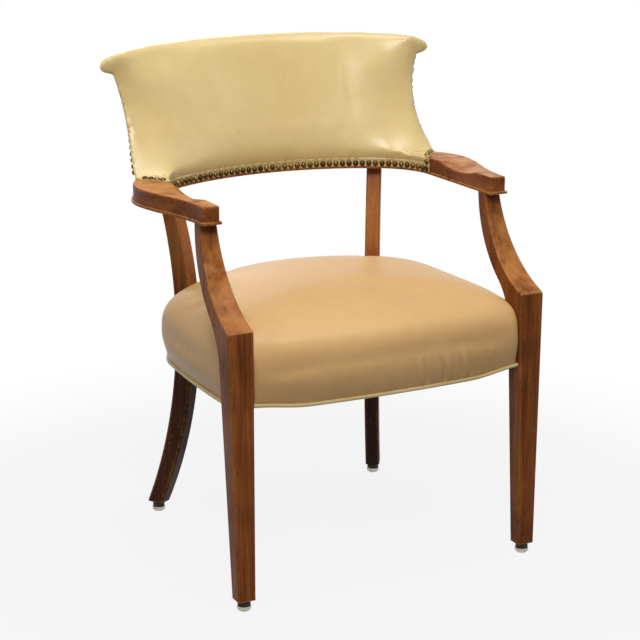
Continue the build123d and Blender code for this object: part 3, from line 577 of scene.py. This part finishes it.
def subdivide(piece):
    modifier = piece.modifiers.new("fine", "SUBSURF")
    modifier.levels = 1
    modifier.render_levels = 1
    apply_modifiers(piece)


def normals_of(piece):
    normals = np.zeros(len(piece.data.vertices) * 3)
    piece.data.vertices.foreach_get("normal", normals)
    return normals.reshape(-1, 3)


def soft_step(value, low, high):
    share = np.clip((value - low) / (high - low), 0.0, 1.0)
    return share * share * (3 - 2 * share)


# Inside back: the padded part, remeshed, rounded and pressed out
PAD_FOOT = 0.5985
PAD_VOXEL = 0.003
PAD_CAP = 0.0015
PAD_PINNED_X = 0.15
PAD_FRAMES = 12
STRIP_LAP = 0.002
BARREL_AXIS_Y = -0.2
BOW_CORNER = (0.133, 0.03697)
BOW_RADIUS = 0.105
BOW_MIDDLE = -0.198
BOW_MIDDLE_RADIUS = 0.375
LIP_FRONT_Y = 0.057
LIP_TOP = 0.6098
LIP_INNER = -0.001
LIP_OUTER = 0.008
FLAP_CUT_Y = (0.03, 0.0878)
FLAP_CUT_Z = (0.6099, 0.6122)
FLAP_CUT_X = 0.4


# Directions away from the barrel's axis, in plan
def barrel_out(places):
    reach = np.hypot(places[:, 0], places[:, 1] - BARREL_AXIS_Y)
    return places[:, 0] / reach, (places[:, 1] - BARREL_AXIS_Y) / reach


# Points along the bow at an offset from its inner face, from right to left
def bow_run(offset, front_y, count=60):
    lead = math.asin((front_y - BOW_CORNER[1]) / (BOW_RADIUS + offset))
    turn = math.atan2(BOW_CORNER[1] - BOW_MIDDLE, BOW_CORNER[0])
    right = []
    for at in np.linspace(lead, turn, count // 2):
        radius = BOW_RADIUS + offset
        right.append((BOW_CORNER[0] + radius * math.cos(at), BOW_CORNER[1] + radius * math.sin(at)))
    for at in np.linspace(turn, math.pi / 2, count)[1:]:
        radius = BOW_MIDDLE_RADIUS + offset
        right.append((radius * math.cos(at), BOW_MIDDLE + radius * math.sin(at)))
    return right + [(-x, y) for x, y in reversed(right[:-1])]


# Place across the bow's front stretch at an offset from its inner face
def bow_x(offset, y):
    return BOW_CORNER[0] + math.sqrt((BOW_RADIUS + offset) ** 2 - (y - BOW_CORNER[1]) ** 2)


# Band along the bow that backs the thin lip of the pad
def lip_core():
    inner = bow_run(LIP_INNER, LIP_FRONT_Y)
    outer = bow_run(LIP_OUTER, LIP_FRONT_Y)
    count = len(inner)
    points = []
    faces = []
    for height in (PAD_FOOT, LIP_TOP):
        points += [(x, y, height) for x, y in inner + outer]
    top = 2 * count
    for k in range(count - 1):
        faces.append((k, k + count, k + count + 1, k + 1))
        faces.append((top + k, top + k + 1, top + k + count + 1, top + k + count))
        faces.append((k, k + 1, top + k + 1, top + k))
        faces.append((k + count, top + k + count, top + k + count + 1, k + count + 1))
    for k in (0, count - 1):
        faces.append((k, top + k, top + k + count, k + count))
    return new_piece("lip_core", points, faces, brass, smooth=False)


def merge_in(piece, other):
    graph = bmesh.new()
    graph.from_mesh(piece.data)
    graph.from_mesh(other.data)
    graph.to_mesh(piece.data)
    graph.free()
    bpy.data.objects.remove(other)


# Prism over the thin flap on an arm, from the bow's inner face outwards
def flap_cutter(side):
    front_y, back_y = FLAP_CUT_Y
    edge = [(bow_x(0.0, y), y) for y in np.linspace(front_y, back_y, 12)]
    edge += [(FLAP_CUT_X, back_y), (FLAP_CUT_X, front_y)]
    count = len(edge)
    points = [(side * x, y, z) for z in FLAP_CUT_Z for x, y in edge]
    faces = [tuple(range(count)), tuple(reversed(range(count, 2 * count)))]
    for k in range(count):
        follow = (k + 1) % count
        faces.append((k, k + count, follow + count, follow))
    if side > 0:
        faces = [tuple(reversed(face)) for face in faces]
    return new_piece("cutter_flap", points, faces, brass, smooth=False)


pad = copy_of("inside_back_cushion", "inside_back_pad", above=PAD_FOOT)
cut_by(pad, [flap_cutter(1), flap_cutter(-1)])
merge_in(pad, lip_core())
remesh(pad, PAD_VOXEL)
keep_largest(pad)


# Points on the outer side of the wall or at the very foot, which stay where they are
HELD_FACING = 0.25
HELD_TOP = 0.765
HELD_FOOT = 0.003
WING_FOOT_X = 0.2
WING_FOOT_Y = 0.125
WING_FOOT_Z = 0.6145


def held_points(piece):
    places = points_of(piece)
    normals = normals_of(piece)
    outward = normals[:, 0] * places[:, 0] + normals[:, 1] * (places[:, 1] - BARREL_AXIS_Y)
    reach = np.hypot(places[:, 0], places[:, 1] - BARREL_AXIS_Y)
    x, y, z = places.T
    behind = (outward / reach > HELD_FACING) & (z < HELD_TOP)
    wing_foot = (z < WING_FOOT_Z) & (y < WING_FOOT_Y) & (np.abs(x) > WING_FOOT_X)
    return behind | wing_foot | (z < PAD_FOOT + HELD_FOOT)


# Padding that evens out the face of the back between its foot and its crest, by height in metres
PADDING = (
    (0.632, 0.0), (0.64, 0.0003), (0.648, 0.0013), (0.656, 0.003), (0.664, 0.0052),
    (0.672, 0.0079), (0.68, 0.0106), (0.70, 0.0098), (0.72, 0.009), (0.74, 0.0079),
    (0.76, 0.0066), (0.78, 0.005), (0.79, 0.0039), (0.80, 0.001), (0.806, 0.0),
)


def fill_out(piece):
    places = points_of(piece)
    normals = normals_of(piece)
    out_x, out_y = barrel_out(places)
    facing = soft_step(-(normals[:, 0] * out_x + normals[:, 1] * out_y), 0.1, 0.6)
    heights, depths = np.array(PADDING).T
    central = soft_step(-np.abs(places[:, 0]), -0.2, -0.1)
    push = np.interp(places[:, 2], heights, depths) * facing * central
    places[:, 0] -= out_x * push
    places[:, 1] -= out_y * push
    place_points(piece, places)


# Front line of a wing by height, and how far its face lies behind that line by distance from the middle
WING_LINE = (
    (0.612, 0.092), (0.616, 0.096), (0.62, 0.100), (0.63, 0.109), (0.64, 0.118), (0.66, 0.132), (0.68, 0.142),
    (0.70, 0.151), (0.72, 0.157), (0.74, 0.161), (0.76, 0.163), (0.78, 0.164),
)
WING_FLARE = (
    (0.171, 0.014), (0.187, 0.0125), (0.203, 0.0105), (0.211, 0.009), (0.219, 0.0072), (0.227, 0.005),
    (0.235, 0.0026), (0.243, 0.0002), (0.249, -0.0018), (0.253, -0.0026), (0.257, -0.0022), (0.262, -0.0008),
    (0.266, 0.0005), (0.271, 0.002),
)
FLARE_REACH = 0.012


def flare_wings(piece):
    places = points_of(piece)
    x, y, z = places.T
    line = np.interp(z, *np.array(WING_LINE).T)
    behind = np.interp(np.abs(x), *np.array(WING_FLARE).T)
    share = soft_step(z, 0.612, 0.645) * soft_step(-z, -0.79, -0.768) * soft_step(np.abs(x), 0.15, 0.18)
    gap = line + behind - y
    front = soft_step(-normals_of(piece)[:, 1], 0.4, 0.8) * (np.abs(gap) < FLARE_REACH)
    places[:, 1] = y + gap * share * np.where(gap > 0, 1.0, front)
    place_points(piece, places)


# Rounds of evening out on the wings, with how near the middle, how low and how high each reaches
EVENING = (
    (340, 0.125, 0.619, 0.788),
    (110, 0.1, 0.617, 0.792),
    (40, 0.07, 0.616, 0.796),
    (14, 0.03, 0.615, 0.8),
)
WING_MIDDLE = 0.185
WING_SPREAD = 0.035
WING_FILL = 0.004


# Fullness that the evening out took off the wings
def fill_wings(piece, depth):
    places = points_of(piece)
    x, y, z = places.T
    share = np.exp(-(((np.abs(x) - WING_MIDDLE) / WING_SPREAD) ** 2))
    share *= soft_step(z, 0.63, 0.68)
    share *= soft_step(-z, -0.795, -0.75)
    places[:, 1] = y - depth * share * soft_step(-normals_of(piece)[:, 1], 0.1, 0.5)
    place_points(piece, places)


held = held_points(pad)
smooth(pad, 6, ~held)
fill_out(pad)
flare_wings(pad)
smooth(pad, 12, ~held)
where = points_of(pad)
height = where[:, 2]
aside = np.abs(where[:, 0])
inside = ~held & (aside < np.interp(height, (0.64, 0.72), (0.247, 0.26)))
for rounds, near, low, high in EVENING:
    smooth(pad, rounds, inside & (aside > near) & (height > low) & (height < high))
fill_wings(pad, WING_FILL)
smooth(pad, 12, inside & (aside > 0.03) & (height > 0.616))
inflate(pad, PAD_CAP, held | (aside > PAD_PINNED_X), PAD_FRAMES)
smooth(pad, 10, ~held)
pad.data.materials.append(back_vinyl)
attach(pad, "chair")
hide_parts("inside_back_cushion")

strip = copy_of("inside_back_cushion", "inside_back_strip", below=PAD_FOOT + STRIP_LAP)
strip.data.materials.append(back_vinyl)
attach(strip, "chair")
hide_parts("inside_back_cushion")

# Flaps on the arms, whose front edges are drawn in between the nails
FLAP_INNER_Y = 0.042
FLAP_OUTER_Y = 0.088
FLAP_BACK_Y = 0.104
FLAP_LOW = 0.61005
FLAP_HIGH = 0.61155
FLAP_INNER = -0.0015
FLAP_OUTER = 0.0465
FLAP_SCALLOPS = 5.5
FLAP_SCALLOP_DEPTH = 0.0016
FLAP_LIFT = 0.0004


def arm_flap(side, name):
    across = 49
    deep = 9
    points = []
    faces = []
    for height in (FLAP_LOW, FLAP_HIGH):
        for row in range(deep):
            for step in range(across):
                t = step / (across - 1)
                depth = row / (deep - 1)
                near_y = FLAP_INNER_Y + (FLAP_BACK_Y - FLAP_INNER_Y) * depth
                far_y = FLAP_OUTER_Y + (FLAP_BACK_Y - FLAP_OUTER_Y) * depth
                x = bow_x(FLAP_INNER, near_y) * (1 - t) + bow_x(FLAP_OUTER, far_y) * t
                y = near_y * (1 - t) + far_y * t
                y += FLAP_SCALLOP_DEPTH * (1 - depth) * abs(math.sin(FLAP_SCALLOPS * math.pi * t))
                lift = FLAP_LIFT * math.sin(math.pi * depth) if height == FLAP_HIGH else 0.0
                points.append((side * x, y, height + lift))
    layer = across * deep
    for row in range(deep - 1):
        for step in range(across - 1):
            corner = row * across + step
            quad = (corner, corner + 1, corner + across + 1, corner + across)
            faces.append(tuple(layer + k for k in quad))
            faces.append(tuple(reversed(quad)))
    rim = list(range(across))
    rim += [row * across + across - 1 for row in range(1, deep)]
    rim += [(deep - 1) * across + step for step in reversed(range(across - 1))]
    rim += [row * across for row in reversed(range(1, deep - 1))]
    for here, there in zip(rim, rim[1:] + rim[:1]):
        faces.append((here, there, there + layer, here + layer))
    if side < 0:
        faces = [tuple(reversed(face)) for face in faces]
    piece = new_piece(name, points, faces, back_vinyl, smooth=False)
    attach(piece, "chair")
    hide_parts("inside_back_cushion")


arm_flap(1, "arm_flap_right")
arm_flap(-1, "arm_flap_left")


# Outside back: vinyl over thin padding, fullest away from its edges
COVER_PUFF = 0.0025
COVER_EDGE = 0.008
REFINE_ROUNDS = 6
SHARP_ANGLE = math.radians(35)


def puff_out(piece, depth):
    places = points_of(piece)
    normals = normals_of(piece)
    out_x, out_y = barrel_out(places)
    facing = soft_step(normals[:, 0] * out_x + normals[:, 1] * out_y, 0.2, 0.7)
    low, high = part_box("outside_back_cover")
    rise = (places[:, 2] - low[2]) / (high[2] - low[2])
    along = np.abs(np.arctan2(out_x, out_y))
    edge = 1 - along / along.max()
    full = soft_step(rise, 0.05, 0.4) * soft_step(1 - rise, 0.05, 0.4) * soft_step(edge, 0.02, 0.2)
    push = depth * facing * full
    places[:, 0] += out_x * push
    places[:, 1] += out_y * push
    place_points(piece, places)


# Triangles with no edge longer than a limit
def refine(piece, longest):
    graph = bmesh.new()
    graph.from_mesh(piece.data)
    for _ in range(REFINE_ROUNDS):
        bmesh.ops.triangulate(graph, faces=graph.faces)
        edges = [edge for edge in graph.edges if edge.calc_length() > longest]
        if not edges:
            break
        bmesh.ops.subdivide_edges(graph, edges=edges, cuts=1)
    bmesh.ops.triangulate(graph, faces=graph.faces)
    graph.to_mesh(piece.data)
    graph.free()
    shade_smooth(piece.data)
    piece.data.set_sharp_from_angle(angle=SHARP_ANGLE)


cover = copy_of("outside_back_cover", "outside_back_vinyl")
refine(cover, COVER_EDGE)
puff_out(cover, COVER_PUFF)
cover.data.materials.append(back_vinyl)
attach(cover, "chair")
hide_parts("outside_back_cover")


# Plan of the seat: front, side and back arcs with tangent corners
SEAT_MIDDLE = -0.055
FRONT_ARC = ((0.0, 1.725), 2.0)
SIDE_ARC = ((-1.736, -0.138), 2.0)
BACK_ARC = ((0.0, -0.167), 0.35)
FRONT_CORNER = 0.024
BACK_CORNER = 0.128


def corner_centre(first, second, radius, pick):
    (ax, ay), ar = first
    (bx, by), br = second
    gap = math.hypot(bx - ax, by - ay)
    near = ar - radius
    far = br - radius
    along = (near**2 - far**2 + gap**2) / (2 * gap)
    aside = math.sqrt(near**2 - along**2)
    ux, uy = (bx - ax) / gap, (by - ay) / gap
    found = [(ax + along * ux - t * aside * uy, ay + along * uy + t * aside * ux) for t in (-1, 1)]
    return pick(found, key=lambda p: p[1])


def seat_plan(count):
    front = corner_centre(FRONT_ARC, SIDE_ARC, FRONT_CORNER, min)
    back = corner_centre(BACK_ARC, SIDE_ARC, BACK_CORNER, max)

    def turn(start, end):
        return math.atan2(end[1] - start[1], end[0] - start[0])

    front_end = turn(FRONT_ARC[0], front)
    side_start = turn(SIDE_ARC[0], front)
    side_end = turn(SIDE_ARC[0], back)
    back_start = turn(BACK_ARC[0], back)
    arcs = [
        (FRONT_ARC[0], FRONT_ARC[1], -math.pi / 2, front_end),
        (front, FRONT_CORNER, front_end, side_start),
        (SIDE_ARC[0], SIDE_ARC[1], side_start, side_end),
        (back, BACK_CORNER, side_end, back_start),
        (BACK_ARC[0], BACK_ARC[1], back_start, math.pi / 2),
    ]
    dense = []
    for (cx, cy), radius, low, high in arcs:
        for turn_at in np.linspace(low, high, 200):
            dense.append((cx + radius * math.cos(turn_at), cy + radius * math.sin(turn_at)))
    dense = np.array(dense)
    run = np.concatenate([[0], np.cumsum(np.linalg.norm(np.diff(dense, axis=0), axis=1))])
    marks = np.linspace(0, run[-1], count // 2 + 1)
    right = np.stack([np.interp(marks, run, dense[:, k]) for k in (0, 1)], axis=1)
    left = right[1:-1][::-1] * (-1, 1)
    return np.concatenate([right, left]) - (0, SEAT_MIDDLE)


SEAT_STEPS = 220
SEAT_FOOT = 0.3154
SEAT_SHOULDER = 0.380
SEAT_CROWN = 0.450
FRONT_SHOULDER = 0.369
ROLL_SHARE = 0.62
FOOT_SCALE = 0.97
FRONT_CLIMB = 0.008
SIDE_ROWS = 16
ROLL_ROWS = 32
ROLL_END = 86
TOP_ROWS = 14
SEAT_VOXEL = 0.0046
SEAT_CAP = 0.003
SEAT_FRAMES = 20
SEAT_WIDEN = 0.018
TACKED_BAND = 0.006
LEG_ROOM = 0.002
LEG_GAP = 0.0006


# Lower edge of the front, which climbs a little towards both legs
def foot_rise(x, y):
    return FRONT_CLIMB * soft_step(np.abs(x), 0.14, 0.236) * soft_step(-y, 0.2, 0.24)


# Height of the seat's top where its outline is scaled: an even dome, and a tighter roll at the front
def crown_height(scale):
    return SEAT_SHOULDER + (SEAT_CROWN - SEAT_SHOULDER) * math.sqrt(1 - scale**4)


def front_height(scale):
    roll = ROLL_SHARE * math.sqrt(1 - scale**20)
    slope = (1 - ROLL_SHARE) * (1 - scale**1.6)
    return FRONT_SHOULDER + (SEAT_CROWN - FRONT_SHOULDER) * (roll + slope)


def seat_shape():
    plan = seat_plan(SEAT_STEPS)
    levels = []
    reach = np.linalg.norm(plan, axis=1)
    ahead = soft_step(-plan[:, 1] / reach, 0.45, 0.8)
    for share in np.linspace(0, 1, SIDE_ROWS):
        scale = FOOT_SCALE + (1 - FOOT_SCALE) * math.sin(math.pi / 2 * share)
        plain = SEAT_FOOT + (SEAT_SHOULDER - SEAT_FOOT) * share
        front = SEAT_FOOT + (FRONT_SHOULDER - SEAT_FOOT) * share
        levels.append((plain, front, scale, 1 - share))
    for angle in np.linspace(0, ROLL_END, ROLL_ROWS)[1:]:
        scale = math.sqrt(math.cos(math.radians(angle)))
        levels.append((crown_height(scale), front_height(scale), scale, 0))
    for scale in np.linspace(levels[-1][2], 0.0, TOP_ROWS)[1:-1]:
        levels.append((crown_height(scale), front_height(scale), scale, 0))
    points = []
    faces = []
    for plain, front, scale, low in levels:
        for (x, y), share in zip(plan * scale + (0, SEAT_MIDDLE), ahead):
            points.append((x, y, plain + (front - plain) * share + low * foot_rise(x, y)))
    rows = len(levels)
    for row in range(rows - 1):
        for step in range(SEAT_STEPS):
            follow = (step + 1) % SEAT_STEPS
            a = row * SEAT_STEPS
            b = a + SEAT_STEPS
            faces.append((a + step, a + follow, b + follow, b + step))
    points.append((0, SEAT_MIDDLE, SEAT_CROWN))
    crown = len(points) - 1
    last = (rows - 1) * SEAT_STEPS
    for step in range(SEAT_STEPS):
        faces.append((last + step, last + (step + 1) % SEAT_STEPS, crown))
    faces.append(tuple(reversed(range(SEAT_STEPS))))
    return points, faces


# Boxes that keep the upholstery off the outer corners at the front
LEGS = ("front_leg_left", "front_leg_right", "rear_leg_left", "rear_leg_right")
GUARD_OUTER_X = 0.3
GUARD_FRONT_Y = -0.32
GUARD_BACK_Y = -0.235
GUARD_LOW = 0.3
SEAT_GUARD_X = 0.2385
SEAT_GUARD_TOP = 0.47
WELT_GUARD_X = 0.236
WELT_GUARD_TOP = 0.34


def corner_guards(inner_x, top):
    guards = []
    for side in (-1, 1):
        near, far = sorted((side * inner_x, side * GUARD_OUTER_X))
        guards.append(block(f"guard_{side}", (near, GUARD_FRONT_Y, GUARD_LOW), (far, GUARD_BACK_Y, top)))
    return guards


seat_points, seat_faces = seat_shape()
seat = new_piece("seat_upholstery", seat_points, seat_faces, seat_vinyl)
cut_by(seat, corner_guards(SEAT_GUARD_X, SEAT_GUARD_TOP) + [leg_cutter(node, LEG_ROOM) for node in LEGS])
remesh(seat, SEAT_VOXEL)
keep_largest(seat)


# Points along the tacked lower edge, which stay where they are
def tacked(piece):
    places = points_of(piece)
    return places[:, 2] < SEAT_FOOT + TACKED_BAND + foot_rise(places[:, 0], places[:, 1])


held = tacked(seat)
smooth(seat, 4, ~held)
inflate(seat, SEAT_CAP, held, SEAT_FRAMES)
smooth(seat, 3, ~held)
subdivide(seat)


# Fullness at the sides that the smoothing took away
def widen(piece, share):
    places = points_of(piece)
    places[:, 0] *= 1 + share * soft_step(places[:, 2], 0.322, 0.365)
    place_points(piece, places)


widen(seat, SEAT_WIDEN)


# Upright pulls in the vinyl, low on the front of the seat
PULL_DEPTH = 0.0015
PULL_LEAN = 0.25
PULL_LEVEL = 0.34
PULL_SPACING = 0.0165
WIDE_PULL_SPACING = 0.0278
WIDE_PULL_SHARE = 0.6
WIDE_PULL_SHIFT = 1.3


def front_pulls(piece):
    places = points_of(piece)
    x, y, z = places.T
    zone = soft_step(-y, 0.245, 0.262) * soft_step(x, 0.0, 0.05) * soft_step(-x, -0.2, -0.12)
    zone *= soft_step(-z, -0.372, -0.345) * soft_step(z, 0.318, 0.328)
    lean = 2 * math.pi * (x + PULL_LEAN * (z - PULL_LEVEL))
    wave = np.sin(lean / PULL_SPACING)
    wave += WIDE_PULL_SHARE * np.sin(lean / WIDE_PULL_SPACING + WIDE_PULL_SHIFT)
    places[:, 1] += PULL_DEPTH * zone * wave
    place_points(piece, places)


front_pulls(seat)
cut_by(seat, [leg_cutter(node, LEG_GAP) for node in LEGS])
shade_smooth(seat.data)
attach(seat, "chair")
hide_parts("seat_cover", "seat_foam")


# Welt: a covered cord under the seat's lower edge, in the stretches between the legs
WELT_RADIUS = 0.0031
WELT_ROUND = 14
WELT_STEPS = 900
WELT_LAP = 0.0038


def welt_path():
    plan = seat_plan(WELT_STEPS) * FOOT_SCALE + (0, SEAT_MIDDLE)
    x, y = plan.T
    z = SEAT_FOOT - WELT_RADIUS + WELT_LAP + foot_rise(x, y)
    return np.stack([x, y, z], axis=1)


def welt_piece():
    path = welt_path()
    count = len(path)
    ahead = np.roll(path, -1, axis=0) - np.roll(path, 1, axis=0)
    ahead /= np.linalg.norm(ahead, axis=1, keepdims=True)
    out = np.stack([ahead[:, 1], -ahead[:, 0], np.zeros(count)], axis=1)
    out /= np.linalg.norm(out, axis=1, keepdims=True)
    points = []
    faces = []
    for k in range(count):
        for step in range(WELT_ROUND):
            turn = 2 * math.pi * step / WELT_ROUND
            rise = np.array([0, 0, WELT_RADIUS * math.sin(turn)])
            points.append(path[k] + out[k] * WELT_RADIUS * math.cos(turn) + rise)
    for k in range(count):
        for step in range(WELT_ROUND):
            here = k * WELT_ROUND
            there = (k + 1) % count * WELT_ROUND
            follow = (step + 1) % WELT_ROUND
            faces.append((here + step, here + follow, there + follow, there + step))
    return new_piece("seat_welt_cord", points, faces, welt_vinyl)


welt = welt_piece()
cut_by(welt, corner_guards(WELT_GUARD_X, WELT_GUARD_TOP) + [leg_cutter(node, LEG_GAP) for node in LEGS])
shade_smooth(welt.data)
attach(welt, "chair")
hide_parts("seat_welt")


# Dust cover: black cloth tacked under the rails, slack in the middle and puckered at its edge
CLOTH_STEPS = 240
CLOTH_THICKNESS = 0.0006
CLOTH_SAG = 0.005
CLOTH_SCALE = 0.93
CLOTH_Z = 0.3150
PUCKERS = 46
PUCKER_DEPTH = 0.03
PUCKER_FADE = 0.05


def cloth_edge():
    graph = bmesh.new()
    graph.from_mesh(nodes["dust_cover"].data)
    bmesh.ops.remove_doubles(graph, verts=graph.verts, dist=SAME_POINT)
    top = {face for face in graph.faces if face.normal.z > 0.9}
    flat_area = sum(face.calc_area() for face in top)
    rim = [edge for edge in graph.edges if sum(face in top for face in edge.link_faces) == 1]
    links = {}
    for edge in rim:
        for vert in edge.verts:
            links.setdefault(vert, []).append(edge.other_vert(vert))
    start = min(links, key=lambda vert: tuple(vert.co))
    loop = [start]
    while True:
        ways = [vert for vert in links[loop[-1]] if len(loop) < 2 or vert is not loop[-2]]
        if ways[0] is start:
            break
        loop.append(ways[0])
    edge_points = np.array([vert.co[:2] for vert in loop])
    graph.free()
    closed = np.concatenate([edge_points, edge_points[:1]])
    run = np.concatenate([[0], np.cumsum(np.linalg.norm(np.diff(closed, axis=0), axis=1))])
    marks = np.linspace(0, run[-1], CLOTH_STEPS, endpoint=False)
    return np.stack([np.interp(marks, run, closed[:, k]) for k in (0, 1)], axis=1), flat_area


def dust_cloth():
    edge, flat_area = cloth_edge()
    area = np.sum(edge[:, 0] * np.roll(edge[:, 1], -1) - edge[:, 1] * np.roll(edge[:, 0], -1))
    if area < 0:
        edge = edge[::-1]
    low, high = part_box("dust_cover")
    middle = np.array([0.0, (low[1] + high[1]) / 2])
    scales = np.concatenate([np.linspace(1, 0.9, 6), np.linspace(0.86, 0.06, 21)])
    points = []
    faces = []
    for thick in (0.0, CLOTH_THICKNESS):
        for scale in scales:
            for step, (x, y) in enumerate((edge - middle) * scale * CLOTH_SCALE + middle):
                wave = math.sin(PUCKERS * 2 * math.pi * step / CLOTH_STEPS)
                pucker = wave * math.exp(-(1 - scale) / PUCKER_FADE) * (1 - scale)
                sag = CLOTH_SAG * (1 - scale**2)
                points.append((x, y, CLOTH_Z - thick - sag - PUCKER_DEPTH * max(pucker, 0.0)))
    rows = len(scales)
    layer = rows * CLOTH_STEPS
    for row in range(rows - 1):
        for step in range(CLOTH_STEPS):
            follow = (step + 1) % CLOTH_STEPS
            a = row * CLOTH_STEPS
            b = a + CLOTH_STEPS
            quad = (a + step, a + follow, b + follow, b + step)
            faces.append(quad)
            faces.append(tuple(layer + k for k in reversed(quad)))
    last = (rows - 1) * CLOTH_STEPS
    faces.append(tuple(last + step for step in range(CLOTH_STEPS)))
    faces.append(tuple(layer + last + step for step in reversed(range(CLOTH_STEPS))))
    for step in range(CLOTH_STEPS):
        follow = (step + 1) % CLOTH_STEPS
        faces.append((layer + step, layer + follow, follow, step))
    piece = new_piece("dust_cloth", points, faces, cambric)
    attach(piece, "chair")
    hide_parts("dust_cover")


dust_cloth()


# Floor, light and camera
FLOOR_HALF = 6.0
FLOOR_Z = -0.0002
FLOOR_GREY = 0.3
NEAR_GLOW = 0.88
FAR_GLOW = 1.0
GLOW_FROM = 0.55
GLOW_TO = 1.1


def floor_material():
    g = Graph("floor")
    path = g.tree.nodes.new("ShaderNodeLightPath")
    seen = g.math("MAXIMUM", path.outputs["Is Camera Ray"], path.outputs["Is Glossy Ray"])
    seen = g.math("MAXIMUM", seen, path.outputs["Is Transmission Ray"])
    glow = g.tree.nodes.new("ShaderNodeEmission")
    glow.inputs["Color"].default_value = (1, 1, 1, 1)
    matte = g.tree.nodes.new("ShaderNodeBsdfDiffuse")
    matte.inputs["Color"].default_value = (FLOOR_GREY, FLOOR_GREY, FLOOR_GREY, 1)
    mixed = g.tree.nodes.new("ShaderNodeMixShader")
    place = g.position()
    far = g.node("ShaderNodeVectorMath", 1, {"operation": "LENGTH"}, i0=place)
    growth = g.math("MULTIPLY", g.between(far, GLOW_FROM, GLOW_TO), FAR_GLOW - NEAR_GLOW)
    share = g.math("ADD", NEAR_GLOW, growth)
    g.put(mixed.inputs[0], g.math("MULTIPLY", seen, share))
    g.put(mixed.inputs[1], matte.outputs[0])
    g.put(mixed.inputs[2], glow.outputs[0])
    out = g.tree.nodes["Material Output"]
    g.tree.links.new(mixed.outputs[0], out.inputs["Surface"])
    g.tree.nodes.remove(g.shader)
    return g.material


floor = new_piece(
    "floor",
    [(FLOOR_HALF * x, FLOOR_HALF * y, FLOOR_Z) for x, y in ((-1, -1), (1, -1), (1, 1), (-1, 1))],
    [(0, 1, 2, 3)],
    floor_material(),
)

world = bpy.data.worlds.new("studio")
scene.world = world
world.use_nodes = True
tree = world.node_tree
tree.nodes.clear()
path = tree.nodes.new("ShaderNodeLightPath")
plain = tree.nodes.new("ShaderNodeBackground")
plain.inputs["Color"].default_value = (1, 1, 1, 1)
plain.inputs["Strength"].default_value = 0.08
white = tree.nodes.new("ShaderNodeBackground")
white.inputs["Color"].default_value = (1, 1, 1, 1)
white.inputs["Strength"].default_value = 1.0
pick = tree.nodes.new("ShaderNodeMixShader")
output = tree.nodes.new("ShaderNodeOutputWorld")
seen = path.outputs["Is Camera Ray"]
for ray in ("Is Glossy Ray", "Is Transmission Ray"):
    larger = tree.nodes.new("ShaderNodeMath")
    larger.operation = "MAXIMUM"
    tree.links.new(seen, larger.inputs[0])
    tree.links.new(path.outputs[ray], larger.inputs[1])
    seen = larger.outputs[0]
tree.links.new(seen, pick.inputs[0])
tree.links.new(plain.outputs[0], pick.inputs[1])
tree.links.new(white.outputs[0], pick.inputs[2])
tree.links.new(pick.outputs[0], output.inputs["Surface"])


def lamp(name, place, aim, size, power):
    light = bpy.data.lights.new(name, "AREA")
    light.shape = "RECTANGLE"
    light.size = size[0]
    light.size_y = size[1]
    light.energy = power
    holder = bpy.data.objects.new(name, light)
    holder.location = place
    holder.rotation_euler = (Vector(aim) - Vector(place)).to_track_quat("-Z", "Y").to_euler()
    scene.collection.objects.link(holder)


lamp("key", (-1.0, -1.9, 2.6), (0, 0, 0.5), (1.1, 0.9), 50)
lamp("top", (0.1, -0.2, 2.7), (0, 0, 0.4), (1.4, 1.4), 36)
lamp("left", (-2.0, -0.3, 2.0), (0, 0, 0.6), (1.0, 1.0), 6)
lamp("right", (2.4, -1.2, 1.4), (0, 0, 0.45), (1.0, 1.0), 5)
lamp("back", (0.5, 2.6, 1.9), (0, 0, 0.5), (1.4, 1.4), 16)

camera = bpy.data.cameras.new("camera")
camera.sensor_fit = "HORIZONTAL"
camera.sensor_width = 36.0
camera.lens = 101.37
camera.clip_end = 50
holder = bpy.data.objects.new("camera", camera)
holder.location = (-1.2944, -2.5694, 1.1722)
aim = Vector((-0.0042, -0.0240, 0.3707))
holder.rotation_euler = (aim - holder.location).to_track_quat("-Z", "Y").to_euler()
scene.collection.objects.link(holder)
scene.camera = holder
scene.view_settings.view_transform = "Standard"
